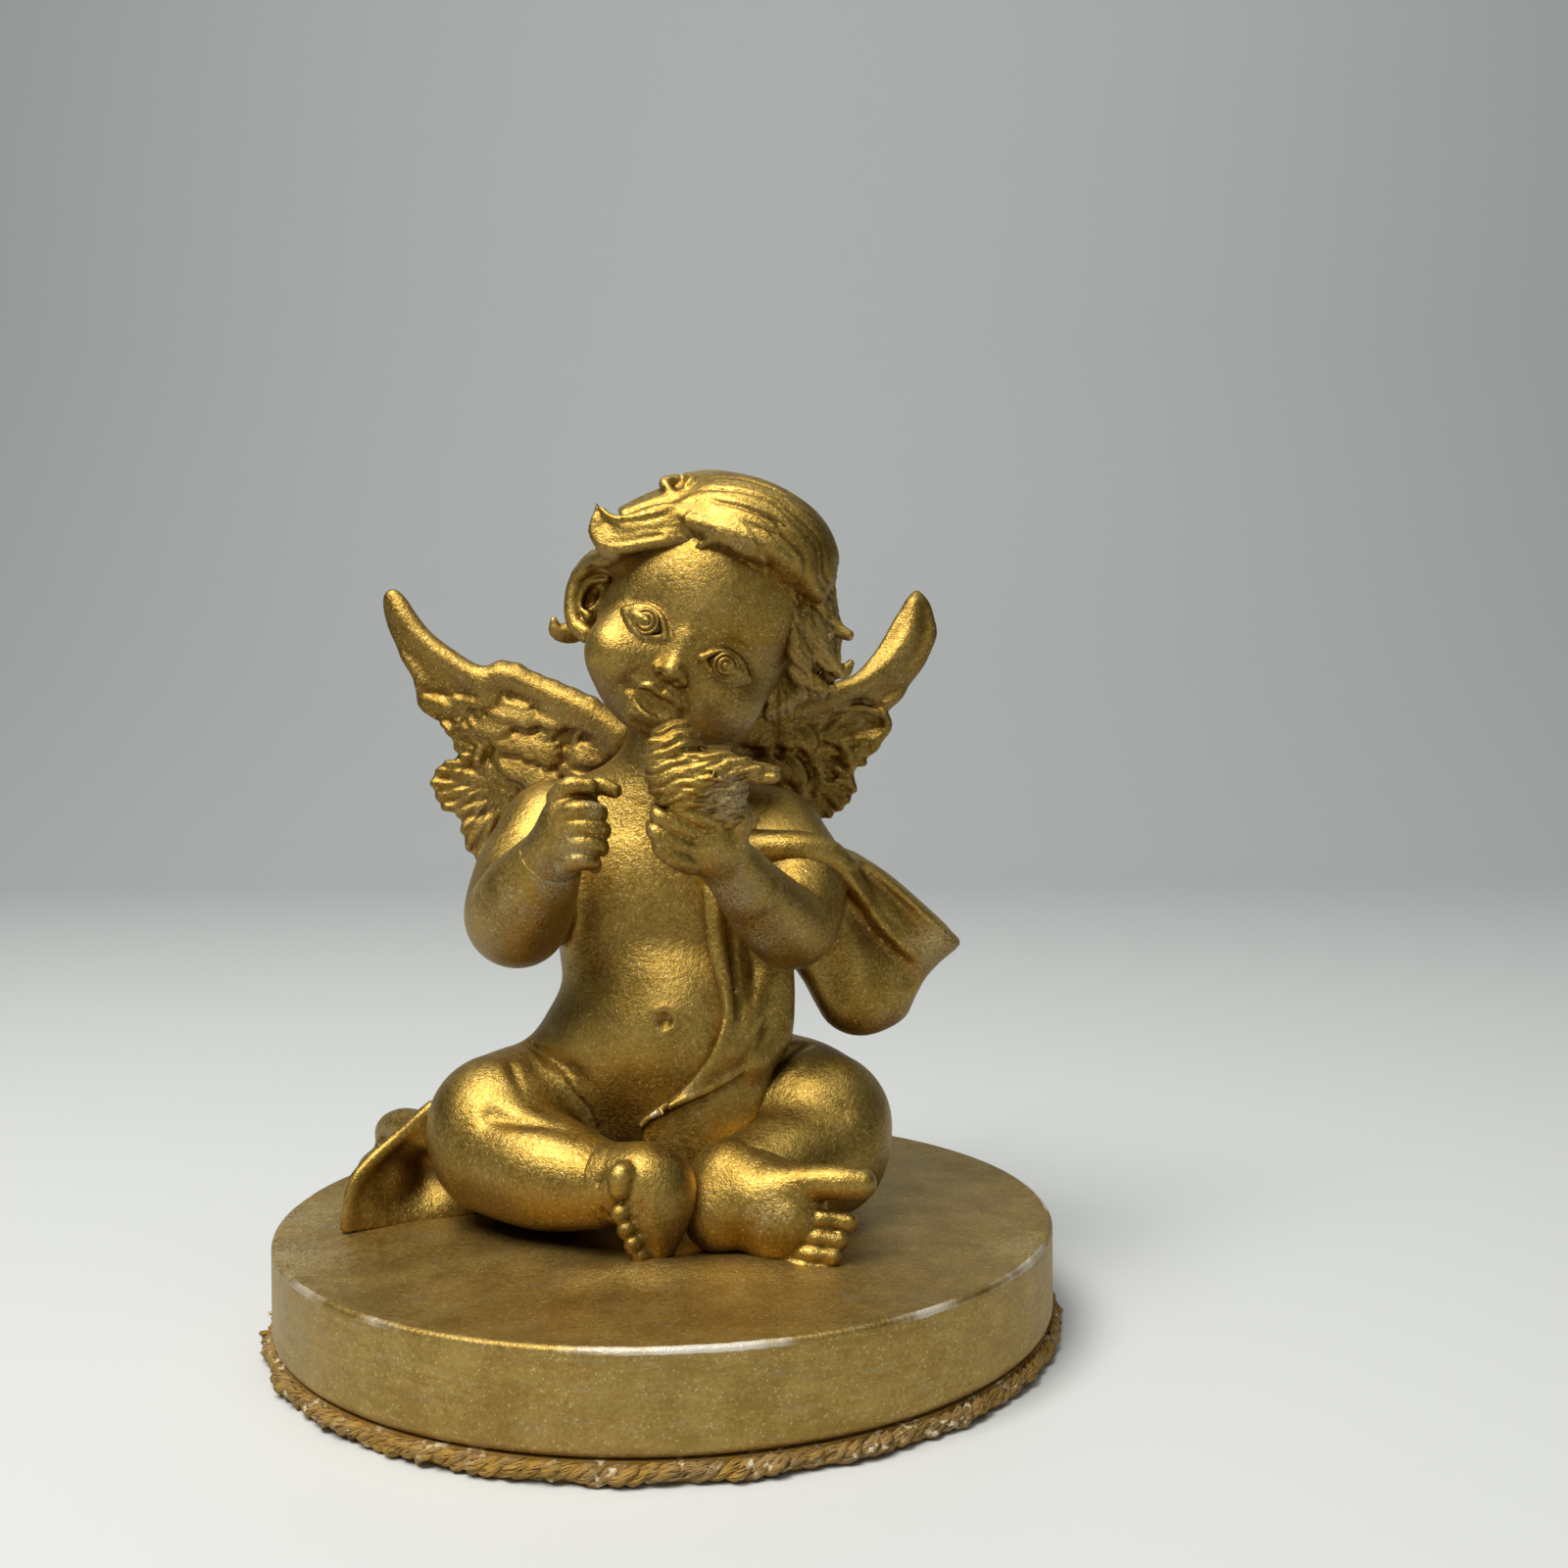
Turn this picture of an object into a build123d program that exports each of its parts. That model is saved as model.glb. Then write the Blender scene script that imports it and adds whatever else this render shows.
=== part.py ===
"""Seated cherub figurine in gilded resin on a round plinth, in millimetres.

+Z is up, the figure faces -Y and the origin is the centre of the underside of the pad it stands on.
Left and right are the figure's own: its left side is +X.
"""

import os

from build123d import *

# Plinth
PAD_THICKNESS = 1.6
PAD_RADIUS = 32.8
PAD_TUFTS = ((183, 2.6, 0.9), (192, 3.0, 0.75), (250, 1.0, 0.7), (296, 1.0, 0.7), (346, 1.3, 0.8))
TUFT_RADIUS = 0.45
DISC_HEIGHT = 7.5
DISC_RADIUS = 32.8
DISC_TOP_ROUND = 0.45
DISC_FOOT_ROUND = 0.8
TOP = PAD_THICKNESS + DISC_HEIGHT  # the face the figure sits on

# Glued joints
PEG_RADIUS = 1.2
PEG_LENGTH = 4.0
SPIGOT_RADIUS = 2.6
SPIGOT_LENGTH = 4.0
GLUE_GAP = 0.08

# Head: its centre, how far it leans towards the left shoulder, and its half sizes across, through and up
HEAD_CENTRE = (3.7, 0.0, 60.3)
HEAD_LEAN = 28.0
HEAD_HALF = (9.7, 10.0, 10.6)
HAIR_THICKNESS = 1.3

# Bird on the left hand
BIRD_CENTRE = (4.6, -15.2, 46.0)

# Torso stations from pelvis to shoulders: centre, then half width. Depth is the same share of each width.
TORSO_PATH = (
    (-0.2, 5.0, 14.0), (-0.2, 3.4, 20.0), (0.0, 2.2, 26.5),
    (-0.4, 2.6, 32.5), (-0.9, 3.4, 37.6), (-0.9, 3.6, 41.0),
)
TORSO_HALF_WIDTHS = (12.0, 11.4, 10.4, 9.8, 10.6, 9.2)
TORSO_DEPTH_SHARE = 0.84

# Wings, drawn outwards and up from their roots
WING_ROOT = (-1.5, 13.0, 44.5)
WING_ROOT_SPREAD = 3.0
WING_SWEEP = 7.0
WING_THICKNESS = 2.4
WING_SCALLOP = 0.16  # how far each lobe of the trailing edge bulges, as a share of its width
WING_LEADING_EDGE = ((0, 6.0), (8.6, 10.2), (14.6, 11.6), (19.6, 14.8), (22.7, 19.6))
WING_TRAILING_VALLEYS = (
    (22.7, 19.6), (21.3, 13.5), (20.4, 8.5), (18.8, 2.5), (16.0, -3.0), (11.4, -6.4), (5.6, -6.0), (0, -2.5)
)
WING_LOBE_TOP = 6.0

FLOOR_SIZE = 100.0


def blob(centre, half_sizes, turn=(0, 0, 0)):
    """An ellipsoid."""
    return Location(centre, turn) * scale(Sphere(1), by=half_sizes)


def clearest_axis(aims):
    """The frame axis that a path runs least along, to hold its sections upright by."""
    frame_axes = (Vector(1, 0, 0), Vector(0, 1, 0), Vector(0, 0, 1))
    return min(frame_axes, key=lambda axis: max(abs(axis.dot(aim)) for aim in aims))


def limb(path, radii, flatness=1.0, level=None):
    """A round-ended limb through points, with a radius at each. Flatness below 1 makes it a strap."""
    spots = [Vector(*p) for p in path]
    last = len(spots) - 1
    aims = [(spots[min(i + 1, last)] - spots[max(i - 1, 0)]).normalized() for i in range(last + 1)]
    level = Vector(*level) if level else clearest_axis(aims)

    def section(spot, aim, radius):
        plane = Plane(origin=spot, x_dir=level - aim * aim.dot(level), z_dir=aim)
        return plane * Ellipse(radius, radius * flatness)

    start_cap = aims[0] * radii[0] * flatness
    end_cap = aims[last] * radii[last] * flatness
    shapes = [Vertex(*(spots[0] - start_cap)), section(spots[0] - start_cap * 0.6, aims[0], radii[0] * 0.8)]
    shapes += [section(spot, aim, radius) for spot, aim, radius in zip(spots, aims, radii)]
    shapes.append(section(spots[last] + end_cap * 0.6, aims[last], radii[last] * 0.8))
    shapes.append(Vertex(*(spots[last] + end_cap)))
    return loft(shapes, ruled=True)


def biggest(shape):
    """The largest solid of a cut, without any sliver that the cut leaves."""
    return max(shape.solids(), key=lambda s: s.volume)


def seated(piece, *neighbours):
    """A piece with the room of its neighbours taken out of it, so that they meet face to face."""
    for other in neighbours:
        piece = biggest(piece - other)
    return piece


def on_head(across, through, up):
    """A point given from the head's centre, along the head's own leaning axes."""
    turned = Location(HEAD_CENTRE, (0, HEAD_LEAN, 0)) * Location((across, through, up))
    return tuple(turned.position)


def below_top():
    """Everything under the face that the figure sits on."""
    size = FLOOR_SIZE
    return Location((0, 0, TOP)) * Box(size, size, size, align=(Align.CENTER, Align.CENTER, Align.MAX))


def peg(radius, length, start, turn):
    """A locating peg that runs from a point, along -Z before it is turned."""
    return Location(start, turn) * Cylinder(radius, length, align=(Align.CENTER, Align.CENTER, Align.MAX))


def pad():
    """Woven pad glued under the plinth, cut to its size by hand."""
    return extrude(Circle(PAD_RADIUS), PAD_THICKNESS)


def pad_threads():
    """Loose tufts of the pad's weave that stick out past its cut edge, as bearing, reach and height."""
    tufts = []
    for bearing, reach, rise in PAD_TUFTS:
        tuft = Cylinder(TUFT_RADIUS, reach + 1, align=(Align.CENTER, Align.CENTER, Align.MIN))
        placed = Location((0, 0, rise), (0, 0, bearing)) * Location((PAD_RADIUS - 1, 0, 0), (0, 90, 0)) * tuft
        tufts.append(biggest(placed - pad()))
    return Compound(children=tufts)


def disc():
    """Round plinth with a rubbed top edge and a socket for the figure's spigot."""
    body = Location((0, 0, PAD_THICKNESS)) * extrude(Circle(DISC_RADIUS), DISC_HEIGHT)
    body = fillet(body.edges().group_by(Axis.Z)[-1], DISC_TOP_ROUND)
    body = fillet(body.edges().group_by(Axis.Z)[0], DISC_FOOT_ROUND)
    return biggest(body - seat_spigot(GLUE_GAP))


def seat_spigot(gap=0.0):
    """Spigot under the pelvis that centres the figure on its plinth. A gap above 0 makes its socket."""
    return peg(SPIGOT_RADIUS + gap, SPIGOT_LENGTH + gap, (-0.2, 4.0, TOP), (0, 0, 0))


def neck_spigot(gap=0.0):
    """Spigot under the head that plugs into the neck. A gap above 0 makes its socket."""
    return peg(SPIGOT_RADIUS + gap, SPIGOT_LENGTH * 2 + gap, (1.9, 0.8, 52.0), (10, 12, 0))


def wing_peg(side, gap=0.0):
    """Peg that fixes a wing in the back. A gap above 0 makes its socket."""
    return peg(PEG_RADIUS + gap, PEG_LENGTH * 2 + gap, (side * 4.6 - 0.8, 12.5, 43.5), (-70, 0, 0))


def torso():
    """Pelvis, belly, chest, shoulders and neck, cut flat where it sits on the plinth."""
    trunk = limb(TORSO_PATH, TORSO_HALF_WIDTHS, flatness=TORSO_DEPTH_SHARE, level=(1, 0, 0))
    neck = limb([(-0.2, 3.4, 43.0), (0.8, 2.2, 47.0), (1.6, 1.2, 50.6)], [6.0, 5.0, 4.8])
    body = biggest(biggest(trunk + neck) - below_top())
    body = biggest(body + seat_spigot())
    for socket in (neck_spigot(GLUE_GAP), wing_peg(-1, GLUE_GAP), wing_peg(1, GLUE_GAP)):
        body = biggest(body - socket)
    return body


def leg(thigh_path, thigh_radii, shin_path, shin_radii):
    """A bent leg, its thigh and shin joined at the knee."""
    return biggest(limb(thigh_path, thigh_radii) + limb(shin_path, shin_radii))


def right_leg():
    return leg(
        [(-6.0, 3.0, 17.0), (-9.6, -0.4, 17.6), (-12.6, -4.0, 17.4)], [7.4, 7.0, 6.2],
        [(-13.0, -5.0, 15.4), (-9.2, -9.2, 14.6), (-4.9, -11.8, 14.8)], [5.6, 4.8, 3.7],
    )


def left_leg():
    return leg(
        [(5.8, 3.0, 17.0), (9.6, 0.6, 17.6), (12.8, -1.8, 17.2)], [7.4, 7.0, 6.2],
        [(13.0, -3.0, 15.2), (10.0, -7.4, 14.2), (6.2, -10.4, 13.8)], [5.6, 4.8, 3.8],
    )


def toes(big_toe, little_toe, aim, radii, reaches):
    """Five round toes in a row from the big one, each a short capsule."""
    row = []
    for i, (radius, reach) in enumerate(zip(radii, reaches)):
        root = Vector(*big_toe) + (Vector(*little_toe) - Vector(*big_toe)) * (i / 4)
        tip = root + Vector(*aim).normalized() * reach
        row.append(limb([tuple(root), tuple(tip)], [radius, radius * 0.95]))
    return row


def right_foot():
    """Foot that stands on its outer edge, its big toe uppermost."""
    foot = blob((0.0, -14.4, 13.6), (3.0, 3.2, 4.8), (14, 8, 0))
    radii, reaches = (1.1, 0.8, 0.8, 0.75, 0.7), (0.5, 0.4, 0.4, 0.3, 0.3)
    for toe in toes((-2.0, -16.4, 15.4), (-0.4, -17.0, 10.4), (-0.3, -1, -0.2), radii, reaches):
        foot = foot + toe
    return biggest(foot)


def left_foot():
    """Foot that lies on its outer side with the toes apart."""
    foot = blob((7.6, -14.0, 13.0), (5.6, 3.0, 4.4), (0, 0, -14))
    radii, reaches = (1.5, 1.05, 1.0, 0.95, 0.9), (3.1, 2.3, 1.9, 1.6, 1.3)
    for toe in toes((11.6, -15.4, 15.8), (11.0, -16.4, 10.2), (1, -0.12, -0.06), radii, reaches):
        foot = foot + toe
    return biggest(foot)


def right_arm():
    return limb(
        [
            (-10.4, 3.4, 41.6), (-12.8, 0.2, 37.6), (-12.0, -5.4, 35.0),
            (-9.6, -9.4, 37.6), (-7.2, -12.2, 40.6),
        ],
        [4.6, 4.4, 4.1, 3.7, 2.7],
    )


def left_arm():
    return limb(
        [(9.0, 3.4, 41.0), (11.4, -0.4, 37.6), (10.8, -6.4, 34.8), (8.6, -10.4, 36.6), (6.2, -13.4, 39.4)],
        [4.6, 4.4, 3.8, 3.4, 2.6],
    )


def right_hand():
    """Loose fist with the thumb over the forefinger."""
    hand = blob((-5.6, -14.0, 42.6), (2.5, 2.3, 3.2), (0, 20, 0))
    for i in range(4):
        knuckle = (-5.4 + 0.2 * i, -15.6, 45.2 - 1.35 * i)
        hand = hand + limb([knuckle, (knuckle[0] + 1.9 - 0.3 * i, -15.2, knuckle[2] - 0.4)], [0.95, 0.8])
    return biggest(hand + limb([(-6.0, -14.2, 45.4), (-3.9, -13.8, 46.2)], [0.95, 0.8]))


def left_hand():
    """Open hand that carries the bird on its fingers."""
    hand = blob((4.4, -15.4, 41.2), (3.0, 2.2, 2.5), (0, -35, 0))
    for i in range(4):
        knuckle = (3.2, -16.8, 42.4 - 1.05 * i)
        hand = hand + limb([knuckle, (0.9 + 0.35 * i, -16.6, knuckle[2] + 1.0 - 0.25 * i)], [0.85, 0.7])
    return biggest(hand + limb([(6.0, -15.2, 42.6), (6.8, -15.6, 45.0)], [1.1, 0.8]))


def bird():
    x, y, z = BIRD_CENTRE
    body = blob((x, y, z), (3.3, 2.3, 2.6), (0, 20, 0))
    body = body + blob((x - 1.5, y, z + 2.8), (1.8, 1.7, 1.9))
    tail = limb([(x + 1.4, y, z + 0.4), (x + 3.9, y, z + 0.6)], [1.7, 1.0], flatness=0.6, level=(0, 1, 0))
    body = body + tail
    return biggest(body + limb([(x - 2.2, y - 0.9, z + 3.2), (x - 2.9, y - 2.3, z + 2.9)], [0.6, 0.3]))


def head():
    """Skull with jaw, nose, ears and the spigot that plugs into the neck."""
    crossways = tuple(Vector(*on_head(1, 0, 0)) - Vector(*HEAD_CENTRE))
    across, through, up = HEAD_HALF
    # Each station of the skull is given by its shares of the depth and of the height.
    stations = ((-0.16, -0.5), (-0.1, -0.15), (0.0, 0.2), (0.08, 0.42))
    spots = [on_head(0, through * forward, up * height) for forward, height in stations]
    whole = limb(spots, [across * share for share in (0.74, 0.95, 0.98, 0.86)], level=crossways)
    whole = whole + limb([on_head(-0.5, -8.4, -3.6), on_head(-0.6, -9.6, -3.9)], [1.6, 1.3])
    for side in (-1, 1):
        ear = [on_head(side * 9.0, 0.9, -4.4), on_head(side * 9.4, 1.2, -1.4)]
        whole = whole + limb(ear, [1.3, 1.7])
    return biggest(biggest(whole) + neck_spigot())


def hair():
    """Cap of hair behind the hairline, with locks that flip out at the temples and the nape."""
    reach = tuple(half + HAIR_THICKNESS for half in HEAD_HALF)
    cap = blob(on_head(0, 0.6, 0.6), reach, (0, HEAD_LEAN, 0))
    face_side = Location(HEAD_CENTRE, (0, HEAD_LEAN, 0)) * Location((0, -7.0, -7.4), (-38, 0, 0))
    cap = biggest(cap - face_side * Box(40, 40, 24, align=(Align.CENTER, Align.MAX, Align.CENTER)))
    locks = (
        ((-6.6, -3.4, 7.6), (-9.0, -4.4, 6.4), (-11.6, -4.4, 6.2)),
        ((9.6, -2.6, 2.0), (10.4, -2.2, -3.2), (11.6, -1.8, -6.6)),
        ((8.8, 2.0, -2.0), (9.0, 1.8, -7.0), (8.6, 1.6, -10.4)),
        ((-8.6, 4.4, -3.0), (-9.2, 3.6, -6.6), (-11.0, 2.6, -8.6)),
    )
    for lock, radii in zip(locks, ((2.6, 1.8, 0.7), (2.4, 2.3, 1.3), (2.6, 2.4, 1.4), (2.4, 2.0, 0.8))):
        cap = cap + limb([on_head(*spot) for spot in lock], radii)
    return biggest(cap)


def wing(side, hang):
    """A half-spread wing: a blade with a scalloped trailing edge under a thicker shoulder bar.

    Side is -1 for the right wing. Hang is the share of its full droop that the lower lobes take.
    """
    root = Vector(WING_ROOT[0] + side * WING_ROOT_SPREAD, WING_ROOT[1], WING_ROOT[2])
    leading = [(side * out, up) for out, up in WING_LEADING_EDGE]
    valleys = []
    for out, up in WING_TRAILING_VALLEYS:
        valleys.append((side * out, up + max(WING_LOBE_TOP - up, 0) * (1 - hang)))
    outline = [Spline(*leading)]
    for start, end in zip(valleys, valleys[1:]):
        along = Vector(*end) - Vector(*start)
        crest = Vector(*start) + along * 0.5 + Vector(-along.Y, along.X) * side * WING_SCALLOP
        outline.append(ThreePointArc(start, (crest.X, crest.Y), end))
    outline.append(Line(valleys[-1], leading[0]))
    blade = extrude(make_face(outline), WING_THICKNESS / 2, both=True)
    turned = Location(tuple(root), (90, 0, side * WING_SWEEP))
    bar_path = [tuple((turned * Location((out, up, 0))).position) for out, up in leading[:3]]
    bar = limb(bar_path, [2.6, 2.2, 1.7])
    return biggest(biggest(turned * blade + bar) + wing_peg(side))


def lap_drape():
    """Cloth that comes down beside the chest, over the belly and into the lap."""
    return limb(
        [(8.2, -6.4, 33.6), (7.8, -8.0, 28.6), (5.6, -9.2, 23.6), (2.6, -10.6, 19.2), (1.2, -12.0, 16.0)],
        [2.6, 3.4, 4.0, 3.6, 2.6], flatness=0.45, level=(1, 0, 0),
    )


def arm_drape():
    """Cloth hung over the left arm, flaring to a hem."""
    return limb(
        [(12.4, 0.6, 39.0), (14.8, 0.6, 36.0), (17.2, 1.0, 32.2), (17.4, 1.4, 28.0), (17.2, 1.6, 25.4)],
        [3.4, 5.2, 6.6, 5.2, 2.6], flatness=0.5, level=(1, 0, 0.6),
    )


def seat_drape():
    """Cloth gathered behind the seat and turned up beside the right knee."""
    back = limb(
        [
            (14.0, 12.0, 11.6), (5.0, 15.4, 12.6), (-6.0, 14.6, 12.6),
            (-15.0, 8.0, 12.4), (-20.0, -0.6, 12.6),
        ],
        [3.4, 4.4, 4.8, 4.6, 4.2], level=(0, 0, 1),
    )
    fold = limb([(-19.0, -1.0, 16.6), (-21.2, -4.0, 13.4), (-23.2, -5.2, 10.4)], [2.8, 3.2, 2.4])
    return biggest(biggest(back + fold) - below_top())


def build():
    """Every piece by name, each one seated against those before it."""
    floor = below_top()
    made = {"base_pad": pad(), "pad_threads": pad_threads(), "base_disc": disc(), "torso": torso()}
    made["head"] = seated(head(), made["torso"])
    made["hair"] = seated(hair(), made["head"], made["torso"])
    made["right_leg"] = seated(right_leg(), floor, made["torso"])
    made["left_leg"] = seated(left_leg(), floor, made["torso"], made["right_leg"])
    legs = [made["right_leg"], made["left_leg"]]
    made["right_foot"] = seated(right_foot(), floor, *legs)
    made["left_foot"] = seated(left_foot(), floor, *legs, made["right_foot"])
    made["right_arm"] = seated(right_arm(), made["torso"])
    made["left_arm"] = seated(left_arm(), made["torso"])
    made["right_hand"] = seated(right_hand(), made["right_arm"])
    made["left_hand"] = seated(left_hand(), made["left_arm"])
    made["bird"] = seated(bird(), made["left_hand"])
    upper = [made[name] for name in ("torso", "right_arm", "left_arm", "head", "hair")]
    made["right_wing"] = seated(wing(-1, 1.0), *upper)
    made["left_wing"] = seated(wing(1, 0.66), *upper, made["right_wing"])
    feet = [made["right_foot"], made["left_foot"]]
    made["lap_drape"] = seated(lap_drape(), made["torso"], made["left_arm"], *legs, *feet)
    around = [made[name] for name in ("left_arm", "torso", "lap_drape", "left_wing")]
    made["arm_drape"] = seated(arm_drape(), *around)
    made["seat_drape"] = seated(seat_drape(), made["torso"], *legs)
    return made


os.makedirs("parts", exist_ok=True)
for name, piece in build().items():
    export_step(piece, f"parts/{name}.step")
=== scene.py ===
import math
import random

import bmesh
import bpy
import numpy as np
from mathutils import Euler, Matrix, Vector


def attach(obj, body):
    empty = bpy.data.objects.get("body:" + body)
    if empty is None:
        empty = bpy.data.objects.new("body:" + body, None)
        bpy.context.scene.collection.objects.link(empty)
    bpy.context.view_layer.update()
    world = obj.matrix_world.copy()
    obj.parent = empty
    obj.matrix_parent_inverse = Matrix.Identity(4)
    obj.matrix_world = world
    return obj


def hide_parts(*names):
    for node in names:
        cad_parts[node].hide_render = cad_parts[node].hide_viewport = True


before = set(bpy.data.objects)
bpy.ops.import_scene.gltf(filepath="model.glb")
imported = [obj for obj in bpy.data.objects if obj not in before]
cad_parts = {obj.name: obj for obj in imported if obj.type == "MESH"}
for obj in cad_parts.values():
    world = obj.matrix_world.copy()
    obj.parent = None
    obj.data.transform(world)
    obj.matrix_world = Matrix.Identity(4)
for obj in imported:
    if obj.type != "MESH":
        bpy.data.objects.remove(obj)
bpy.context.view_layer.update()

mm = 0.001
clayLook = {
    "steps": 4, "edgeSteps": 3, "coreSpacing": 1.1, "frontStep": 0.5, "glueGap": 0.2, "probe": 0.02,
    "longestPull": 0.5, "relax": 0.4, "coarser": 1.0,
}


# clay: soft lumps that melt together, all in millimetres

def smoothPath(path, steps):
    rows = np.array(path, float)
    if len(rows) < 3:
        return rows[0] + (rows[-1] - rows[0]) * np.linspace(0, 1, steps + 1)[:, None]
    full = np.vstack([2 * rows[0] - rows[1], rows, 2 * rows[-1] - rows[-2]])
    found = []
    for i in range(1, len(full) - 2):
        a, b, c, d = full[i - 1:i + 3]
        for t in np.linspace(0, 1, steps, endpoint=False):
            square = (2 * a - 5 * b + 4 * c - d) * t**2
            cube = (3 * b - a - 3 * c + d) * t**3
            found.append((2 * b + (c - a) * t + square + cube) / 2)
    return np.array(found + [rows[-1]])


def lump(field, how, blend, cores, reach=3.0):
    spots = np.array([core[0] for core in cores])
    sizes = np.array([np.max(core[1]) for core in cores])[:, None]
    low = (spots - sizes).min(axis=0) - blend - reach
    high = (spots + sizes).max(axis=0) + blend + reach
    return {"field": field, "how": how, "blend": blend, "cores": cores, "low": low, "high": high}


def ball(centre, size, turn=(0, 0, 0), blend=0.8, how="add"):
    centre = np.array(centre, float)
    size = np.array(size, float) * np.ones(3)
    spin = np.array(Euler([math.radians(a) for a in turn]).to_matrix())

    def field(p):
        q = (p - centre) @ spin
        near = np.linalg.norm(q / size, axis=1)
        steep = np.linalg.norm(q / size**2, axis=1)
        return near * (near - 1) / np.maximum(steep, 1e-6)

    return lump(field, how, blend, [(centre, size, spin)])


def alongRuns(p, rows):
    for a, b in zip(rows, rows[1:]):
        run = b[:3] - a[:3]
        share = np.clip((p - a[:3]) @ run / max(run @ run, 1e-9), 0, 1)
        yield p - a[:3] - share[:, None] * run, a + share[:, None] * (b - a), run


def limb(path, blend=0.8, steps=4):  # rows are x, y, z, radius
    rows = smoothPath(path, steps)

    def field(p):
        best = np.full(len(p), 1e3)
        for away, here, run in alongRuns(p, rows):
            best = np.minimum(best, np.sqrt(np.einsum("ij,ij->i", away, away)) - here[:, 3])
        return best

    return lump(field, "add", blend, [(row[:3], row[3] * np.ones(3), np.eye(3)) for row in rows])


def strap(path, facing, blend=0.4):  # rows are x, y, z, half width, half thickness
    rows = smoothPath(path, clayLook["steps"])
    facing = np.array(facing, float) / np.linalg.norm(facing)

    def field(p):
        best = np.full(len(p), 1e3)
        for away, here, run in alongRuns(p, rows):
            side = np.cross(run, facing)
            side /= max(np.linalg.norm(side), 1e-6)
            across = np.abs(away @ side)
            rest = away - (away @ side)[:, None] * side
            wide = np.maximum(across - np.maximum(here[:, 3] - here[:, 4], 0), 0)
            best = np.minimum(best, np.sqrt(wide**2 + np.sum(rest**2, axis=1)) - here[:, 4])
        return best

    cores = []
    for i, row in enumerate(rows):
        run = rows[min(i + 1, len(rows) - 1)][:3] - rows[max(i - 1, 0)][:3]
        side = np.cross(run, facing)
        side /= max(np.linalg.norm(side), 1e-6)
        for share in (-0.8, -0.4, 0, 0.4, 0.8):
            cores.append((row[:3] + side * row[3] * share, row[4] * 1.15 * np.ones(3), np.eye(3)))
    return lump(field, "add", blend, cores)


def fade(count):  # full in the middle of a path and nought at its ends
    if count < 4:
        return np.ones((count, 1))
    return np.sqrt(np.sin(np.linspace(0.0, 1.0, count) * math.pi) + 1e-4)[:, None]


def strongest(p, rows, width):
    most = np.zeros(len(p))
    for away, here, run in alongRuns(p, rows):
        most = np.maximum(most, here[:, 3] * np.exp(-np.einsum("ij,ij->i", away, away) / width**2))
    return most


def groove(path, width, depth):  # a negative depth raises a ridge
    rows = smoothPath(path, clayLook["steps"]) if len(path) > 1 else np.array([path[0], path[0]], float)
    rows = np.hstack([rows, fade(len(rows))])

    def field(p):
        return depth * strongest(p, rows, width)

    return lump(
        field, "press", 0, [(row[:3], width * np.ones(3), np.eye(3)) for row in rows], reach=width * 2,
    )


def cutOff(point, normal):  # takes away what lies beyond a plane
    point, normal = np.array(point, float), np.array(normal, float)
    normal /= np.linalg.norm(normal)
    return {"field": lambda p: (p - point) @ normal, "how": "slice"}


def partFrom(own, others):  # a glue line half way between a piece and its neighbours
    def field(p):
        nearest = np.min([fieldOf(other, p) for other in others], axis=0)
        return (fieldOf(own, p) - nearest) / 2 - clayLook["glueGap"]

    return {"field": field, "how": "slice"}


def closedPath(path, steps):
    rows = np.array(path, float)
    whole = smoothPath(np.vstack([rows[-1], rows, rows[:2]]), steps)
    return whole[steps:-steps - 1]


def outlineDistance(spots, rows):  # below nought inside the outline
    best = np.full(len(spots), 1e6)
    inside = np.zeros(len(spots), bool)
    for a, b in zip(rows, np.roll(rows, -1, axis=0)):
        run = b - a
        share = np.clip((spots - a) @ run / max(run @ run, 1e-9), 0, 1)
        best = np.minimum(best, np.sum((spots - a - share[:, None] * run)**2, axis=1))
        crosses = (a[1] > spots[:, 1]) != (b[1] > spots[:, 1])
        meets = a[0] + (spots[:, 1] - a[1]) * run[0] / (run[1] if abs(run[1]) > 1e-9 else 1e-9)
        inside ^= crosses & (spots[:, 0] < meets)
    return np.sqrt(best) * np.where(inside, -1, 1)


def plate(outline, middle, half, blend=0.4, edge=0.5):
    # the outline is x and z of its edge, around a curved middle surface y = middle(x, z)
    rows = closedPath(outline, clayLook["edgeSteps"])
    spacing = clayLook["coreSpacing"]

    def field(p):
        flat = outlineDistance(p[:, [0, 2]], rows)
        deep = np.abs(p[:, 1] - middle(p[:, 0], p[:, 2])) - half
        return -melt(-flat, -deep, edge)

    low, high = rows.min(axis=0), rows.max(axis=0)
    xs, zs = np.meshgrid(np.arange(low[0], high[0], spacing), np.arange(low[1], high[1], spacing))
    spots = np.stack([xs.ravel(), zs.ravel()], axis=1)
    spots = spots[outlineDistance(spots, rows) < -0.35]
    spots = np.stack([spots[:, 0], middle(spots[:, 0], spots[:, 1]), spots[:, 1]], axis=1)
    size = max(half * 1.15, spacing * 0.9) * np.ones(3)
    return lump(field, "add", blend, [(spot, size, np.eye(3)) for spot in spots])


def fold(path, width, depth):  # rows are x and z: a groove right along both faces
    rows = smoothPath([(x, 0, z) for x, z in path], clayLook["steps"])
    rows = np.hstack([rows, fade(len(rows))])

    def field(p):
        return depth * strongest(p * (1, 0, 1), rows, width)

    low = rows[:, :3].min(axis=0) - width * 3
    high = rows[:, :3].max(axis=0) + width * 3
    low[1], high[1] = -1e3, 1e3
    return {"field": field, "how": "press", "blend": 0, "cores": [], "low": low, "high": high}


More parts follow.
